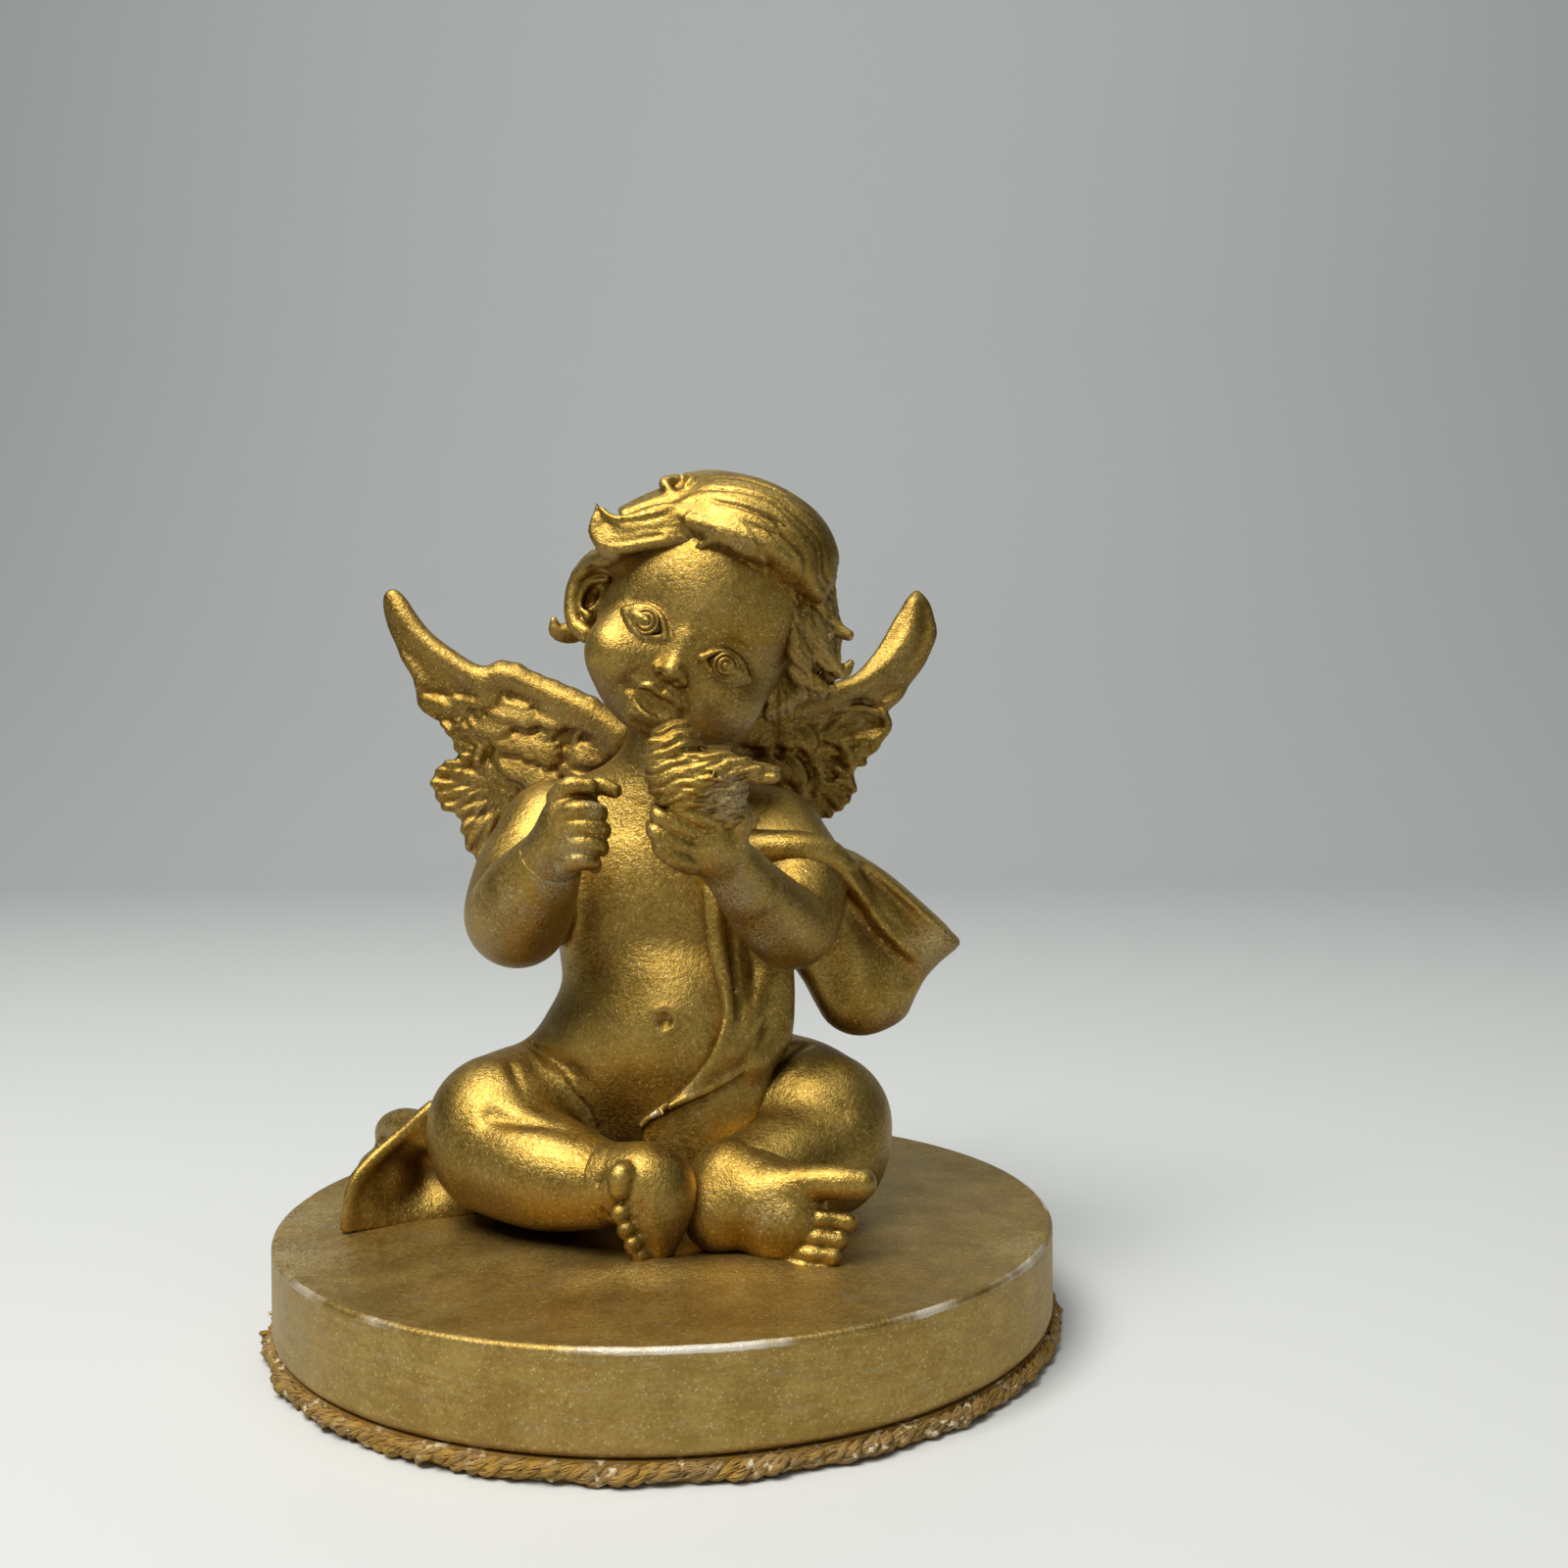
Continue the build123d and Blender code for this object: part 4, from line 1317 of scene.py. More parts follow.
def rightWing():
    sheet = wingSheet(right, wingLook["root"], wingLook["sweep"])
    outline = [
        (-27.4, 64.2), (-26.2, 63.4), (-25.0, 61.5), (-22.4, 58.3), (-18.7, 56.2), (-16.4, 57.2),
        (-12.9, 55.7), (-9.1, 54.0), (-4.5, 50.5), (-3.0, 46.0), (-4.0, 42.0), (-8.0, 38.5), (-12.0, 36.4),
        (-15.5, 35.6), (-18.0, 36.4), (-19.3, 38.2), (-20.5, 40.2), (-20.9, 42.3), (-22.5, 43.2),
        (-23.6, 45.6), (-22.7, 47.4), (-21.0, 48.0), (-21.6, 49.8), (-22.8, 51.6), (-24.9, 53.1),
        (-25.1, 55.6), (-26.5, 57.8), (-27.9, 60.4), (-28.4, 62.8),
    ]
    bar = [(-5.0, 49.8, 1.9), (-9.2, 52.6, 1.6), (-13.0, 54.4, 1.3), (-16.2, 55.7, 1.4), (-18.4, 55.2, 1.0)]
    spine = [
        (-18.0, 55.0, 1.2), (-21.4, 57.0, 1.2), (-24.4, 59.4, 1.1), (-26.3, 61.8, 0.95), (-27.3, 63.4, 0.6),
    ]
    clay = [
        plate(outline, sheet, wingLook["half"], edge=0.6),
        barbTexture((-16.0, 46.5), wingLook["barbs"]),
    ]
    clay.append(curlTexture((-14.0, 49.4), (7.6, 5.0), 0.6))
    clay += ruffle(
        right, sheet,
        [
            (-11.0, 51.6, 3.6, 150), (-13.4, 52.6, 3.4, 190), (-15.8, 53.2, 3.2, 205),
            (-18.0, 53.4, 3.6, 190), (-20.4, 54.0, 3.6, 170), (-10.0, 49.0, 3.6, 185),
            (-12.8, 50.4, 3.2, 235), (-15.2, 50.6, 3.4, 215), (-17.6, 50.8, 3.6, 200),
            (-19.4, 51.4, 3.8, 175), (-12.0, 47.4, 3.4, 250), (-14.4, 47.8, 3.4, 225),
            (-16.8, 48.4, 3.6, 205), (-9.0, 46.4, 3.4, 220), (-13.4, 45.2, 3.4, 235),
        ],
    )
    clay += [
        fold(path, 0.5, depth)
        for path, depth in (
            ([(-25.2, 54.4), (-21.6, 54.2), (-18.4, 54.2)], 0.4), ([(-23.0, 51.8), (-20.6, 52.0)], 0.35),
            ([(-21.5, 49.6), (-19.0, 49.8)], 0.35), ([(-21.2, 47.9), (-18.6, 46.6)], 0.45),
            ([(-23.4, 46.2), (-19.6, 45.4), (-17.4, 45.0)], 0.3),
            ([(-22.2, 43.6), (-19.2, 44.0), (-17.2, 44.6)], 0.35),
            ([(-20.9, 42.2), (-18.4, 42.8), (-16.6, 43.8)], 0.45),
            ([(-19.6, 38.8), (-17.4, 41.0), (-15.8, 43.0)], 0.35),
            ([(-16.4, 36.2), (-15.2, 39.4), (-14.6, 42.0)], 0.35), ([(-12.2, 36.8), (-12.6, 40.0)], 0.35),
            ([(-8.4, 39.4), (-10.2, 42.2)], 0.35),
        )
    ]
    clay.append(limb(standOff(sheet, bar, 0.5), blend=0.8, steps=7))
    clay.append(limb(standOff(sheet, spine, 0.45), blend=0.8, steps=7))
    clay.append(
        groove(
            [(-6.0, 10.4, 50.2), (-10.6, 11.2, 51.8), (-14.8, 12.0, 52.6), (-18.4, 12.8, 53.0)], 0.5, 0.5,
        )
    )
    sculpt("right_wing", clay, wingLook["voxel"], finish="shadedWingPaint", recessReach=wingLook["recessReach"])


def leftWing():
    sheet = wingSheet(left, wingLook["root"], wingLook["sweep"])
    outline = [
        (22.9, 64.0), (24.0, 63.0), (24.9, 60.6), (24.4, 57.8), (22.8, 55.3), (21.5, 53.5), (20.2, 52.2),
        (20.4, 50.7), (19.4, 49.0), (18.0, 47.4), (17.0, 46.4), (17.0, 44.6), (15.8, 43.0), (14.0, 42.0),
        (12.2, 42.2), (10.0, 40.4), (6.0, 39.4), (2.0, 41.5), (0.0, 46.0), (2.0, 50.5), (8.0, 53.2),
        (12.6, 53.6), (16.4, 55.2), (17.9, 56.6), (19.9, 59.4), (21.5, 62.2),
    ]
    bar = [(3.0, 49.2, 2.0), (7.4, 51.8, 1.6), (11.4, 52.4, 1.4), (14.9, 53.4, 1.2)]
    spine = [
        (14.6, 53.6, 1.15), (17.7, 54.8, 1.15), (20.3, 56.8, 1.15), (22.2, 59.6, 1.05), (22.8, 62.4, 0.8),
    ]
    clay = [
        plate(outline, sheet, wingLook["half"], edge=0.6),
        barbTexture((11.0, 47.5), wingLook["barbs"]),
        curlTexture((11.0, 47.6), (7.0, 4.4), 0.45),
        limb(
            standOff(
                sheet, [(15.2, 52.4), (17.6, 52.6), (19.6, 52.0), (20.0, 50.6), (18.6, 49.2)], 0.7, 0.45,
            ),
            blend=0.4,
        ),
        limb(
            standOff(sheet, [(12.4, 50.2), (15.6, 49.0), (16.6, 47.0), (15.0, 45.6)], 0.7, 0.45), blend=0.4,
        ),
    ]
    clay += ruffle(
        left, sheet,
        [
            (6.0, 50.0, 3.2, 340), (8.6, 50.6, 3.2, 320), (11.0, 50.8, 3.0, 300), (7.2, 47.4, 3.4, 325),
            (9.8, 47.8, 3.2, 300), (7.0, 44.6, 3.2, 320),
        ],
    )
    clay += [
        fold(path, width, depth)
        for path, width, depth in (
            ([(15.4, 51.2), (17.6, 51.0), (19.0, 50.6)], 0.9, 0.55),
            ([(13.0, 48.6), (14.6, 47.6), (15.4, 46.6)], 0.9, 0.5),
            ([(20.4, 52.2), (17.4, 53.2), (14.8, 52.9)], 0.4, 0.45),
            ([(17.0, 46.3), (14.2, 45.8), (12.4, 46.6)], 0.4, 0.4),
            ([(14.6, 42.4), (13.4, 44.4)], 0.4, 0.3), ([(11.0, 41.2), (10.6, 44.2)], 0.4, 0.35),
            ([(6.2, 40.0), (7.2, 43.0)], 0.4, 0.35),
        )
    ]
    clay.append(limb(standOff(sheet, bar, 0.5), blend=0.8, steps=7))
    clay.append(limb(standOff(sheet, spine, 0.55), blend=0.6, steps=7))
    sculpt("left_wing", clay, wingLook["voxel"], finish="shadedWingPaint", recessReach=wingLook["recessReach"])


rightWing()
leftWing()


# drapery

drapeLook = {"arm": 0.27, "lap": 0.2, "seat": 0.27}  # voxel of each fall of cloth


def armDrape():
    outline = [
        (12.6, 40.6), (14.9, 40.2), (17.0, 39.2), (19.8, 37.2), (22.6, 34.7), (24.7, 32.7), (25.5, 31.5),
        (23.8, 30.0), (22.5, 28.6), (21.5, 26.9), (20.7, 25.3), (19.2, 24.3), (17.3, 23.7), (15.4, 23.9),
        (13.8, 24.9), (12.8, 26.5), (11.8, 28.4), (10.6, 30.4), (9.6, 34.0), (9.4, 38.0), (10.6, 40.4),
    ]
    hang = lambda x, z: 1.2 + 0.10 * np.maximum(x - 16, 0) + 0.05 * (34 - z) - 0.9 * np.exp(
        -((x - 17) / 4.5)**2 - ((z - 27) / 3.6)**2
    )
    clay = [
        plate(outline, hang, 2.5, edge=2.2),
        limb(
            [
                (5.6, 1.0, 40.6, 1.7), (7.2, -1.6, 40.2, 1.7), (9.6, -2.6, 40.2, 1.6),
                (11.8, -2.8, 40.1, 1.55), (13.8, -2.3, 39.5, 1.5), (15.4, -1.6, 38.1, 1.2),
                (16.8, -1.2, 36.2, 0.9),
            ],
            blend=0.7, steps=7,
        ),
        ball((11.6, -4.2, 37.4), (3.2, 1.5, 1.1), turn=(0, 22, 0), blend=0.7, how="cut"),
        fold([(16.2, 38.6), (18.8, 36.2), (21.4, 33.4), (23.4, 31.4)], 0.8, 0.55),
        fold([(15.6, 36.0), (17.2, 33.4), (19.4, 31.0), (21.2, 29.0)], 1.1, 0.85),
        fold([(15.6, 39.6), (18.6, 37.6), (21.8, 34.8), (24.6, 32.4)], 0.5, -0.28),
        fold([(15.6, 38.0), (17.2, 35.2), (19.2, 32.6), (21.6, 30.4)], 0.6, -0.7),
        fold([(14.6, 35.0), (15.8, 32.0), (16.8, 29.0), (17.3, 26.2)], 1.1, -0.45),
        fold([(13.0, 33.0), (14.0, 29.6), (15.0, 26.6)], 0.9, 0.28),
    ]
    sculpt("arm_drape", clay, drapeLook["arm"])


def lapDrape():
    outline = [
        (3.7, 38.0), (3.5, 34.0), (3.8, 31.8), (4.7, 29.3), (5.0, 26.8), (3.8, 23.5), (1.6, 20.9),
        (-1.2, 18.9), (-2.0, 17.6), (-0.8, 18.4), (1.9, 19.7), (4.4, 20.7), (6.6, 22.0), (8.6, 23.6),
        (10.2, 25.6), (10.4, 28.5), (10.3, 31.3), (9.6, 34.6), (9.2, 38.0),
    ]
    body = frontOf(trunk, (-6, 13), (14, 40), -1.6)
    lie = lambda x, z: body(x, z) + 0.35 - 0.2 * np.maximum(21.5 - z, 0)
    under = [
        (-1.6, 18.0), (1.9, 19.9), (4.4, 20.9), (6.6, 22.4), (8.2, 24.0), (8.8, 21.0), (7.4, 17.0),
        (5.0, 12.0), (2.6, 10.0), (-0.6, 13.0),
    ]
    clay = [
        plate(outline, lie, 1.5, edge=1.0),
        plate(
            under, lambda x, z: -5.6 - 0.10 * (21.5 - z) + 0.35 * np.maximum(x - 4, 0), 1.8, edge=0.8,
            blend=0.3,
        ),
        limb(
            [
                (9.3, -2.6, 31.0, 1.6), (9.1, -3.0, 27.4, 1.9), (8.6, -3.6, 24.6, 2.1),
                (7.4, -5.0, 22.8, 1.9),
            ],
            blend=0.8, steps=7,
        ),
        limb(
            standOff(
                lie,
                [
                    (4.5, 38.0, 0.75), (4.4, 34.0, 0.8), (4.7, 31.8, 0.75), (5.3, 29.3, 0.6),
                    (5.6, 27.0, 0.4),
                ],
                1.1,
            ),
            blend=0.35,
        ),
        limb(
            standOff(
                lie,
                [(7.4, 37.4, 1.3), (7.8, 33.0, 1.4), (8.1, 29.6, 1.3), (7.4, 26.4, 1.1), (5.8, 23.8, 0.8)],
                0.9,
            ),
            blend=0.9,
        ),
        limb(
            standOff(
                lie,
                [
                    (9.9, 27.4), (9.2, 24.8), (7.0, 22.6), (4.2, 21.0), (1.4, 19.9), (-0.8, 18.8),
                    (-1.8, 17.8),
                ],
                1.45, 0.28,
            ),
            blend=0.3,
        ),
        groove(
            standOff(lie, [(6.0, 37.0), (5.9, 32.6), (6.1, 30.4), (6.4, 28.0), (6.3, 26.6)], 1.7), 0.42, 0.6,
        ),
        groove(standOff(lie, [(9.0, 31.0), (8.9, 27.6), (7.6, 24.6)], 1.7), 0.6, 0.25),
    ]
    sculpt("lap_drape", clay + [seatPlane], drapeLook["lap"])


def seatDrape():
    hollow = lambda x, z: -6.2 + 0.48 * (x + 25.6) + 3.0 * np.exp(
        -((x + 20.6) / 2.7)**2 - ((z - 13.2) / 2.7)**2
    )
    pocket = [
        (-19.8, 18.8), (-22.2, 16.6), (-24.4, 14.7), (-25.6, 13.0), (-26.1, 10.8), (-26.1, 8.6),
        (-23.0, 8.4), (-19.6, 8.4), (-16.4, 8.4), (-15.6, 12.0), (-17.0, 15.4), (-18.6, 18.0),
    ]
    rim = [(-19.6, 18.6), (-22.1, 16.4), (-24.3, 14.5), (-25.5, 12.9), (-25.9, 10.8), (-25.9, 9.0)]
    clay = [
        plate(pocket, hollow, 0.75, edge=0.5),
        limb(standOff(hollow, rim, 0.2, 0.62), blend=0.5),
        limb(
            [
                (-20.4, -2.6, 16.4, 1.6), (-22.6, -0.6, 16.3, 1.6), (-24.0, 1.4, 15.4, 1.7),
                (-23.6, 4.4, 13.6, 2.4),
            ],
            blend=1.0,
        ),
        limb([(-23.6, -2.6, 12.6, 2.2), (-24.6, 0.4, 12.0, 2.4), (-22.6, 5.0, 11.4, 3.0)], blend=0.9),
        limb(
            [
                (14.0, 11.4, 11.0, 3.2), (5.0, 14.4, 12.4, 4.2), (-6.0, 14.0, 12.4, 4.6),
                (-15.4, 8.6, 12.2, 4.2), (-20.4, 2.0, 12.0, 3.4),
            ],
            blend=1.2,
        ),
        groove([(-25.6, -3.0, 14.8), (-24.6, -1.4, 15.2), (-24.8, 1.6, 13.6)], 0.5, 0.5),
    ]
    for x, y, lean in (
        (9.6, 16.6, 0.4), (3.6, 18.6, 0.1), (-2.4, 19.0, -0.1), (-8.6, 17.2, -0.4), (-14.2, 13.4, -0.8),
        (-18.6, 8.6, -1.2)
    ):
        clay.append(
            groove([(x, y, 9.2), (x + lean, y - 0.8, 13.0), (x + lean * 2, y - 3.4, 16.6)], 0.7, 0.75)
        )
    sculpt("seat_drape", clay + [seatPlane], drapeLook["seat"])


armDrape()
lapDrape()
seatDrape()


# plinth, pad and fringe

plinth = {
    "radius": 32.75, "foot": 1.6, "top": 9.1, "round": 0.45, "footRound": 0.8, "mound": 0.16, "sides": 320,
}


def spunDisc():
    rows = [(0.0, plinth["foot"])]
    rows += [(r, plinth["foot"]) for r in np.linspace(4, plinth["radius"] - plinth["footRound"], 8)]
    for t in np.linspace(0, math.pi / 2, 7)[1:]:
        rows.append((
            plinth["radius"] - plinth["footRound"] * (1 - math.sin(t)),
            plinth["foot"] + plinth["footRound"] * (1 - math.cos(t))
        ))
    rows += [
        (plinth["radius"], z)
        for z in np.linspace(plinth["foot"] + plinth["footRound"], plinth["top"] - plinth["round"], 24)[1:]
    ]
    for t in np.linspace(0, math.pi / 2, 7)[1:]:
        rows.append((
            plinth["radius"] - plinth["round"] * (1 - math.cos(t)),
            plinth["top"] - plinth["round"] * (1 - math.sin(t))
        ))
    inward = np.linspace(plinth["radius"] - plinth["round"], 0, 60)[1:]
    rows += [(r, plinth["top"] - plinth["mound"] * min(1, ((plinth["radius"] - r) / 3))) for r in inward]
    mesh = spun("base_disc", [(r * mm, 0, z * mm) for r, z in rows], (0, 0, 1), plinth["sides"], 1e-6)
    points = readPoints(mesh) / mm
    reach = np.hypot(points[:, 0], points[:, 1])
    bearing = np.arctan2(points[:, 1], points[:, 0])
    rim = np.exp(-((reach - plinth["radius"]) / 0.35)**2 - ((points[:, 2] - plinth["top"] + 0.1) / 0.30)**2)
    wobble = 0.05 * np.sin(bearing * 5 + 1) + 0.04 * np.sin(bearing * 11)
    top = points[:, 2] > plinth["top"] - 0.4
    points[top, 2] += 0.16 * np.exp(-(reach[top] / 24)**2) - 0.03 * wobble[top]
    for x, y, reachX, reachY, rise in (
        (-1.0, -17.6, 5.0, 2.6, 0.9), (8.6, -16.4, 7.0, 3.4, 0.8), (-10.0, -13.0, 6.0, 4.0, 0.6),
        (-18.0, -7.0, 5.0, 4.0, 0.5)
    ):
        points[top, 2] += rise * np.exp(
            -((points[top, 0] - x) / reachX)**2 - ((points[top, 1] - y) / reachY)**2
        )
    points[:, :2] *= (1 + wobble / 400)[:, None]
    writePoints(mesh, points * mm)
    writeValues(mesh, "recess", -1.3 * rim)
    markDust(mesh, points)
    mesh.shade_smooth()
    keep(addPiece("base_disc", mesh), ["base_disc"], "plinthPaint")


spunDisc()


padLook = {
    "radius": 32.5, "height": 1.5, "yarn": 0.42, "sides": 7, "plies": 3, "rings": 620, "ends": 300,
    "reach": 33.75,
}
chance = random.Random(7)


def fibreTubes(name, tubes):  # each tube is a list of x, y, z, radius, with its own place along the fibre
    sides = padLook["sides"]
    verts, faces, grain = [], [], []
    for number, tube in enumerate(tubes):
        rows = np.array(tube, float)
        runs = np.gradient(rows[:, :3], axis=0)
        runs /= np.linalg.norm(runs, axis=1)[:, None]
        first = len(verts)
        for i, (row, run) in enumerate(zip(rows, runs)):
            across = np.cross(run, (0.0, 0.1, 1.0))
            across /= np.linalg.norm(across)
            other = np.cross(run, across)
            for k in range(sides):
                turn = k * math.tau / sides
                swell = 1 + 0.16 * math.sin(turn * 3 + number)
                verts.append(row[:3] + (across * math.cos(turn) + other * math.sin(turn)) * row[3] * swell)
                grain.append((math.cos(turn) + number * 3.7, math.sin(turn) + number * 1.3, i * 0.12))
        for i in range(len(rows) - 1):
            for k in range(sides):
                a, b = first + i * sides + k, first + i * sides + (k + 1) % sides
                faces.append((a, b, b + sides, a + sides))
        faces.append([first + k for k in range(sides)][::-1])
        faces.append([first + (len(rows) - 1) * sides + k for k in range(sides)])
    mesh = bpy.data.meshes.new(name)
    mesh.from_pydata([list(v * mm) for v in np.array(verts)], [], faces)
    bm = bmesh.new()
    bm.from_mesh(mesh)
    bmesh.ops.recalc_face_normals(bm, faces=bm.faces)
    bm.to_mesh(mesh)
    bm.free()
    flat = np.array(grain, np.float32).ravel()
    mesh.attributes.new("fibre", "FLOAT_VECTOR", "POINT").data.foreach_set("vector", flat)
    mesh.shade_smooth()
    return addPiece(name, mesh)


def yarnEdge():  # the pad's cut edge: a thick yarn that runs round it, its plies twisted and roughened
    tubes = []
    count = padLook["rings"]
    for ply in range(padLook["plies"]):
        rows = []
        for i in range(count + 1):
            t = math.tau * i / count
            twist = t * 62 + ply * math.tau / padLook["plies"]
            rough = 0.13 * math.sin(
                t * 37 + ply * 2.1
            ) + 0.11 * math.sin(t * 83 + ply) + 0.06 * math.sin(t * 151)
            radius = padLook["radius"] + 0.18 + 0.30 * math.cos(twist) + rough
            rows.append((
                radius * math.cos(t), radius * math.sin(t), 0.78 + 0.30 * math.sin(twist),
                padLook["yarn"] * (0.95 + rough)
            ))
        tubes.append(rows)
    return tubes


def cutEnds():  # short ends of yarn that stick out between the plies, slanting along the edge
    tubes = []
    for i in range(padLook["ends"]):
        t = math.tau * (i + chance.uniform(-0.4, 0.4)) / padLook["ends"]
        slant = chance.uniform(0.25, 1.1) * (1 if chance.random() < 0.85 else -1)
        length = chance.uniform(0.7, 1.5)
        out = np.array((math.cos(t), math.sin(t), 0.0))
        along = np.array((-math.sin(t), math.cos(t), 0.0))
        aim = along * math.cos(slant) + out * math.sin(abs(slant)) * 0.6 + np.array((
            0, 0, chance.uniform(-0.45, 0.25)
        ))
        start = out * (padLook["radius"] - 0.15) + np.array((0, 0, chance.uniform(0.45, 1.15)))
        size = chance.uniform(0.10, 0.28)
        rows = []
        for share, fat in ((0, 1.0), (0.35, 1.05), (0.7, 0.95), (1.0, 0.7)):
            spot = start + aim * length * share
            spot[2] = max(spot[2], size + 0.02)
            spot[:2] *= min(1, padLook["reach"] / math.hypot(spot[0], spot[1]))
            rows.append((*spot, size * fat))
        tubes.append(rows)
    return tubes


def looseThreads():
    tubes = []
    for bearing, reach, rise, plies in (
        (183, 1.5, 1.1, 3), (192, 1.4, 0.8, 4), (250, 0.6, 0.7, 2), (296, 0.6, 0.7, 2), (346, 0.8, 0.8, 3)
    ):
        for ply in range(plies):
            t = math.radians(bearing + chance.uniform(-1.2, 1.2))
            bend = chance.uniform(-0.25, 0.25)
            rows = []
            for share in (0, 0.3, 0.55, 0.8, 1.0):
                radius = padLook["radius"] - 0.3 + (reach + 0.4) * share * (0.85 + 0.15 * ply / plies)
                angle = t + bend * share**2 * 0.06
                rows.append((
                    radius * math.cos(angle), radius * math.sin(angle),
                    max(0.3, rise - 0.35 * share + 0.16 * ply - 0.2), 0.26 * (1 - 0.35 * share)
                ))
            tubes.append(rows)
    return tubes


def padCore():
    bm = bmesh.new()
    radius, height = padLook["radius"] * mm, padLook["height"] * mm
    middle = Matrix.Translation((0, 0, (padLook["height"] / 2 + 0.03) * mm))
    bmesh.ops.create_cone(
        bm, cap_ends=True, segments=160, radius1=radius, radius2=radius, depth=height, matrix=middle,
    )
    return addPiece("padCore", meshFrom(bm, "padCore"))


juteLook = {
    "spray": (0.46, 0.27, 0.045, 1), "straw": (0.36, 0.22, 0.06, 1), "dark": (0.07, 0.033, 0.006, 1),
    "pale": (0.80, 0.68, 0.44, 1), "roughness": 0.62, "metallic": 0.45, "bump": 0.8,
}


def makeJute():
    look = juteLook
    material = bpy.data.materials.new("wovenJute")
    material.use_nodes = True
    tree = material.node_tree
    shader = tree.nodes["Principled BSDF"]
    place = addNode(tree, "ShaderNodeTexCoord").outputs["Object"]
    fibre = addNode(tree, "ShaderNodeAttribute", attribute_name="fibre").outputs["Vector"]
    hair = noiseAt(tree, fibre, 5.0, 3)
    patch = noiseAt(tree, place, 420, 3)
    speck = noiseAt(tree, place, 1500, 2)
    colour = mixColour(tree, ramp(tree, patch, 0.40, 0.60), look["spray"], look["straw"])
    colour = mixColour(tree, ramp(tree, hair, 0.52, 0.36), colour, look["dark"])
    colour = mixColour(
        tree, mathNode(tree, "MULTIPLY", ramp(tree, speck, 0.58, 0.66), ramp(tree, patch, 0.48, 0.60)),
        colour, look["pale"],
    )
    tree.links.new(colour, shader.inputs["Base Color"])
    tree.links.new(
        mathNode(tree, "MULTIPLY", ramp(tree, patch, 0.62, 0.40), look["metallic"]),
        shader.inputs["Metallic"],
    )
    shader.inputs["Roughness"].default_value = look["roughness"]
    bump = addNode(tree, "ShaderNodeBump", {"Strength": look["bump"], "Distance": 0.0002, "Height": hair})
    tree.links.new(bump.outputs["Normal"], shader.inputs["Normal"])
    return material


finishes["wovenJute"] = makeJute()
keep(fibreTubes("base_pad", yarnEdge() + cutEnds()), ["base_pad"], "wovenJute")
keep(padCore(), [], "wovenJute")
keep(fibreTubes("pad_threads", looseThreads()), ["pad_threads"], "wovenJute")


# camera, light and floor

cameraLook = {"place": (10.2, -135.3, 48.0), "pitch": 1.01, "roll": -0.36, "lens": 36.05}


def makeCamera():
    pitch, roll = math.radians(cameraLook["pitch"]), math.radians(cameraLook["roll"])
    ahead = Vector((0, math.cos(pitch), -math.sin(pitch)))
    across = Vector((1, 0, 0))
    up = across.cross(ahead)
    turnedAcross = across * math.cos(roll) + up * math.sin(roll)
    turnedUp = up * math.cos(roll) - across * math.sin(roll)
    data = bpy.data.cameras.new("camera")
    data.lens, data.sensor_width, data.clip_start = cameraLook["lens"], 36, 0.01
    camera = bpy.data.objects.new("camera", data)
    turn = Matrix((turnedAcross, turnedUp, -ahead)).transposed().to_4x4()
    camera.matrix_world = Matrix.Translation(Vector(cameraLook["place"]) * mm) @ turn
    bpy.context.collection.objects.link(camera)
    bpy.context.scene.camera = camera


lightLook = {  # place, what it points at, size, power and colour
    "key": ((-0.16, -0.20, 0.46), (0, 0, 0.04), 0.28, 3.0, (1, 0.97, 0.92)),
    "fill": ((0.35, -0.50, 0.30), (0, 0, 0.04), 0.30, 0.16, (1, 0.98, 0.96)),
    "wallWash": ((0.0, 0.15, 1.10), (0, 1.0, 0.42), 1.20, 4.9, (0.97, 1, 0.98)),
}


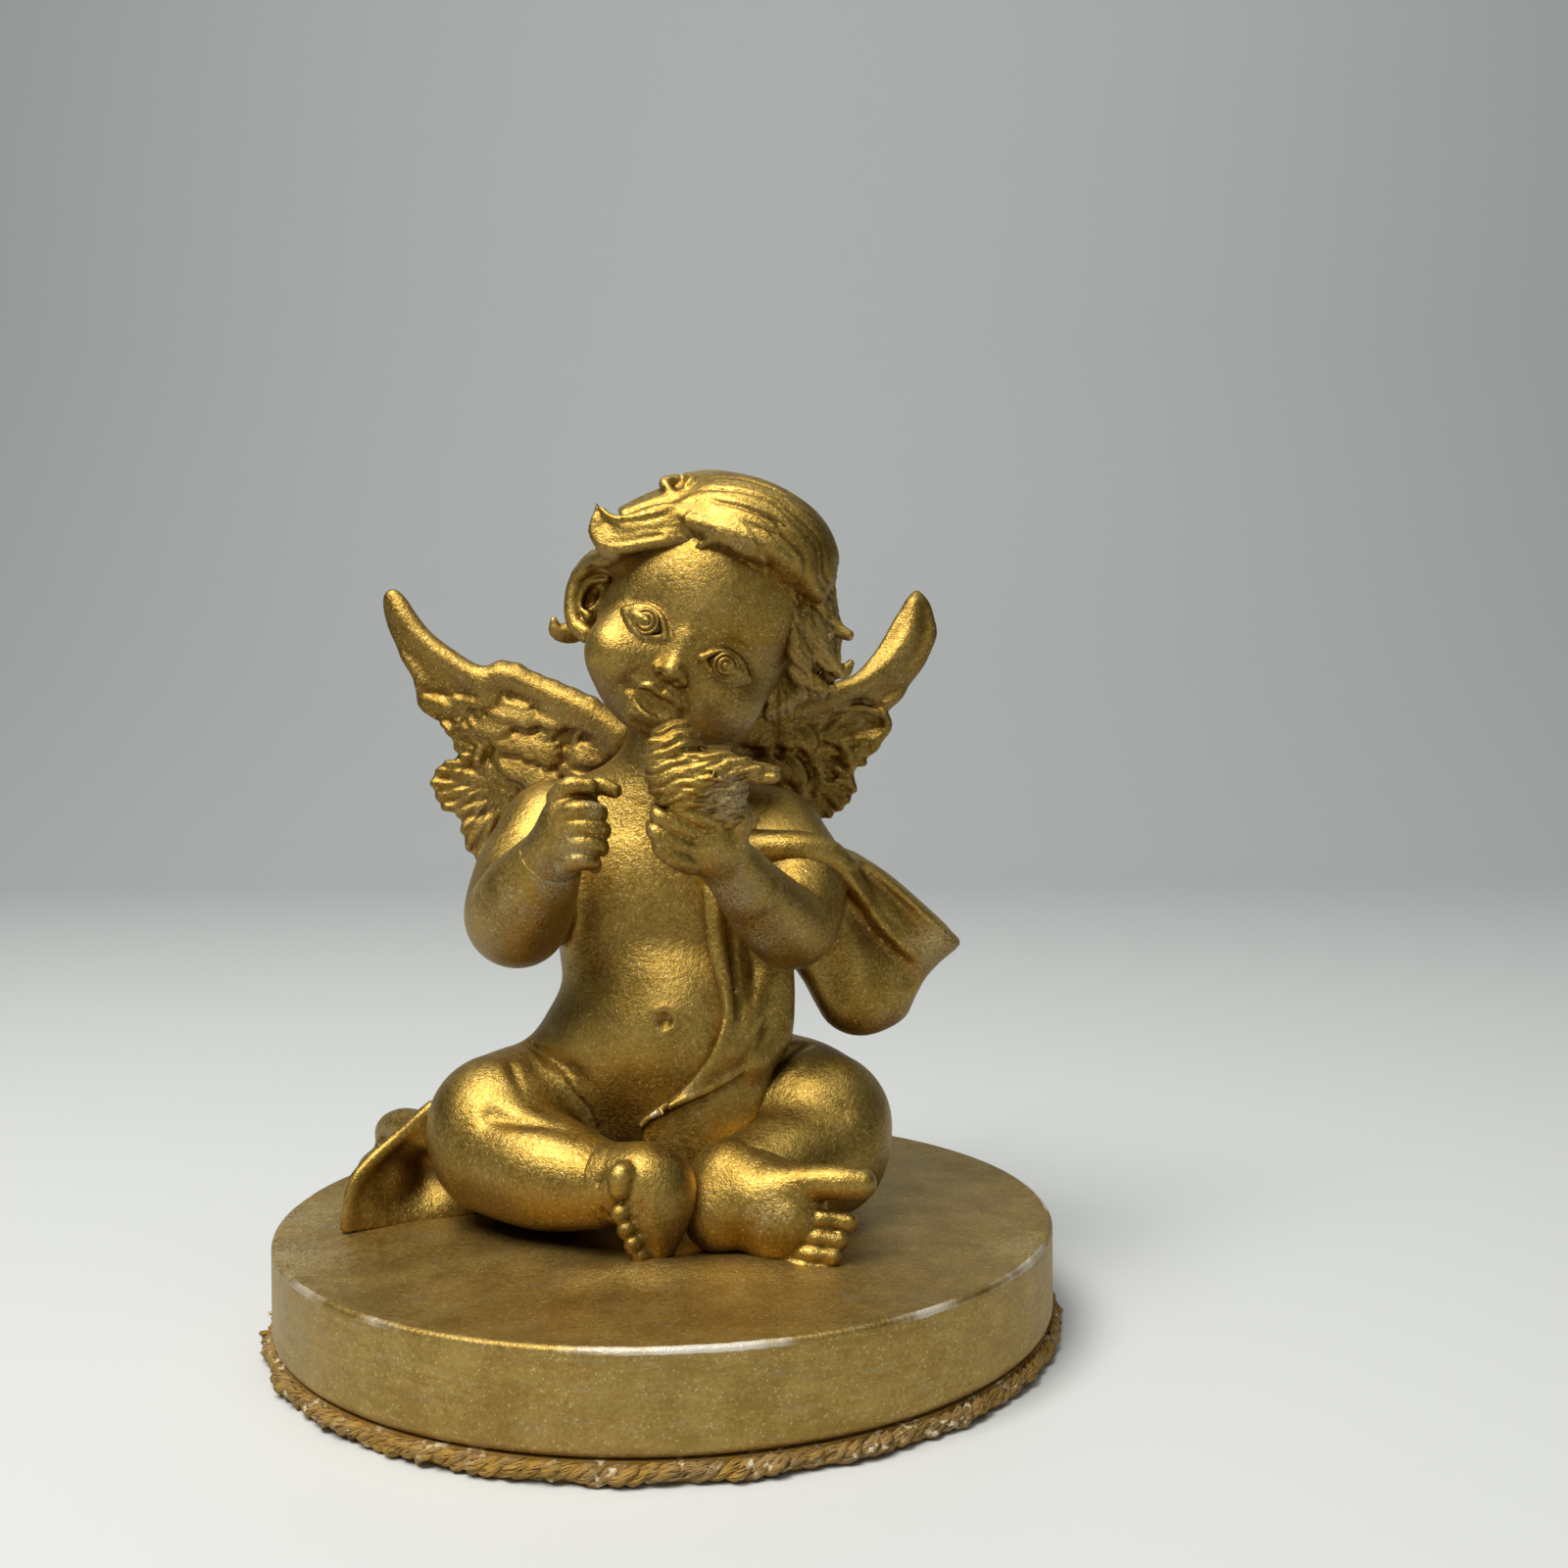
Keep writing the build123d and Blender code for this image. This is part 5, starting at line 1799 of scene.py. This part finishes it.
def makeLight(name, place, target, size, power, colour):
    data = bpy.data.lights.new(name, "AREA")
    data.shape, data.size, data.energy, data.color = "SQUARE", size, power, colour
    light = bpy.data.objects.new(name, data)
    light.location = place
    light.rotation_euler = (Vector(target) - Vector(place)).to_track_quat("-Z", "Y").to_euler()
    bpy.context.collection.objects.link(light)


roomLook = {
    "table": (0.66, 0.68, 0.68, 1), "roughness": 0.55, "air": (0.62, 0.66, 0.66, 1), "airLight": 0.10,
    "wallAt": 0.75, "wallHeight": 1.6, "wallLean": 0.25, "sweep": 0.3,
}


def makeFloor():
    bm = bmesh.new()
    bmesh.ops.create_grid(bm, x_segments=1, y_segments=1, size=2.0)
    bmesh.ops.translate(bm, verts=bm.verts, vec=(0, 1.0, 0))
    back = [e for e in bm.edges if all(v.co.y > 2.9 for v in e.verts)]
    for v in bm.verts:
        if v.co.y > 2.9:
            v.co.y = roomLook["wallAt"]
    lifted = bmesh.ops.extrude_edge_only(bm, edges=back)["geom"]
    bmesh.ops.translate(
        bm, verts=[v for v in lifted if isinstance(v, bmesh.types.BMVert)],
        vec=(0, roomLook["wallLean"], roomLook["wallHeight"]),
    )
    bmesh.ops.bevel(
        bm, geom=back, offset=roomLook["sweep"], segments=24, profile=0.5, affect="EDGES", material=-1,
    )
    mesh = meshFrom(bm, "floor")
    mesh.shade_smooth()
    floor = addPiece("floor", mesh)
    paint = bpy.data.materials.new("paleTable")
    paint.use_nodes = True
    shader = paint.node_tree.nodes["Principled BSDF"]
    shader.inputs["Base Color"].default_value = roomLook["table"]
    shader.inputs["Roughness"].default_value = roomLook["roughness"]
    mesh.materials.append(paint)


def makeWorld():
    world = bpy.data.worlds.new("room")
    world.use_nodes = True
    background = world.node_tree.nodes["Background"]
    background.inputs["Color"].default_value = roomLook["air"]
    background.inputs["Strength"].default_value = roomLook["airLight"]
    bpy.context.scene.world = world


makeCamera()
for name, values in lightLook.items():
    makeLight(name, *values)
makeFloor()
makeWorld()
bpy.context.scene.view_settings.view_transform = "Standard"
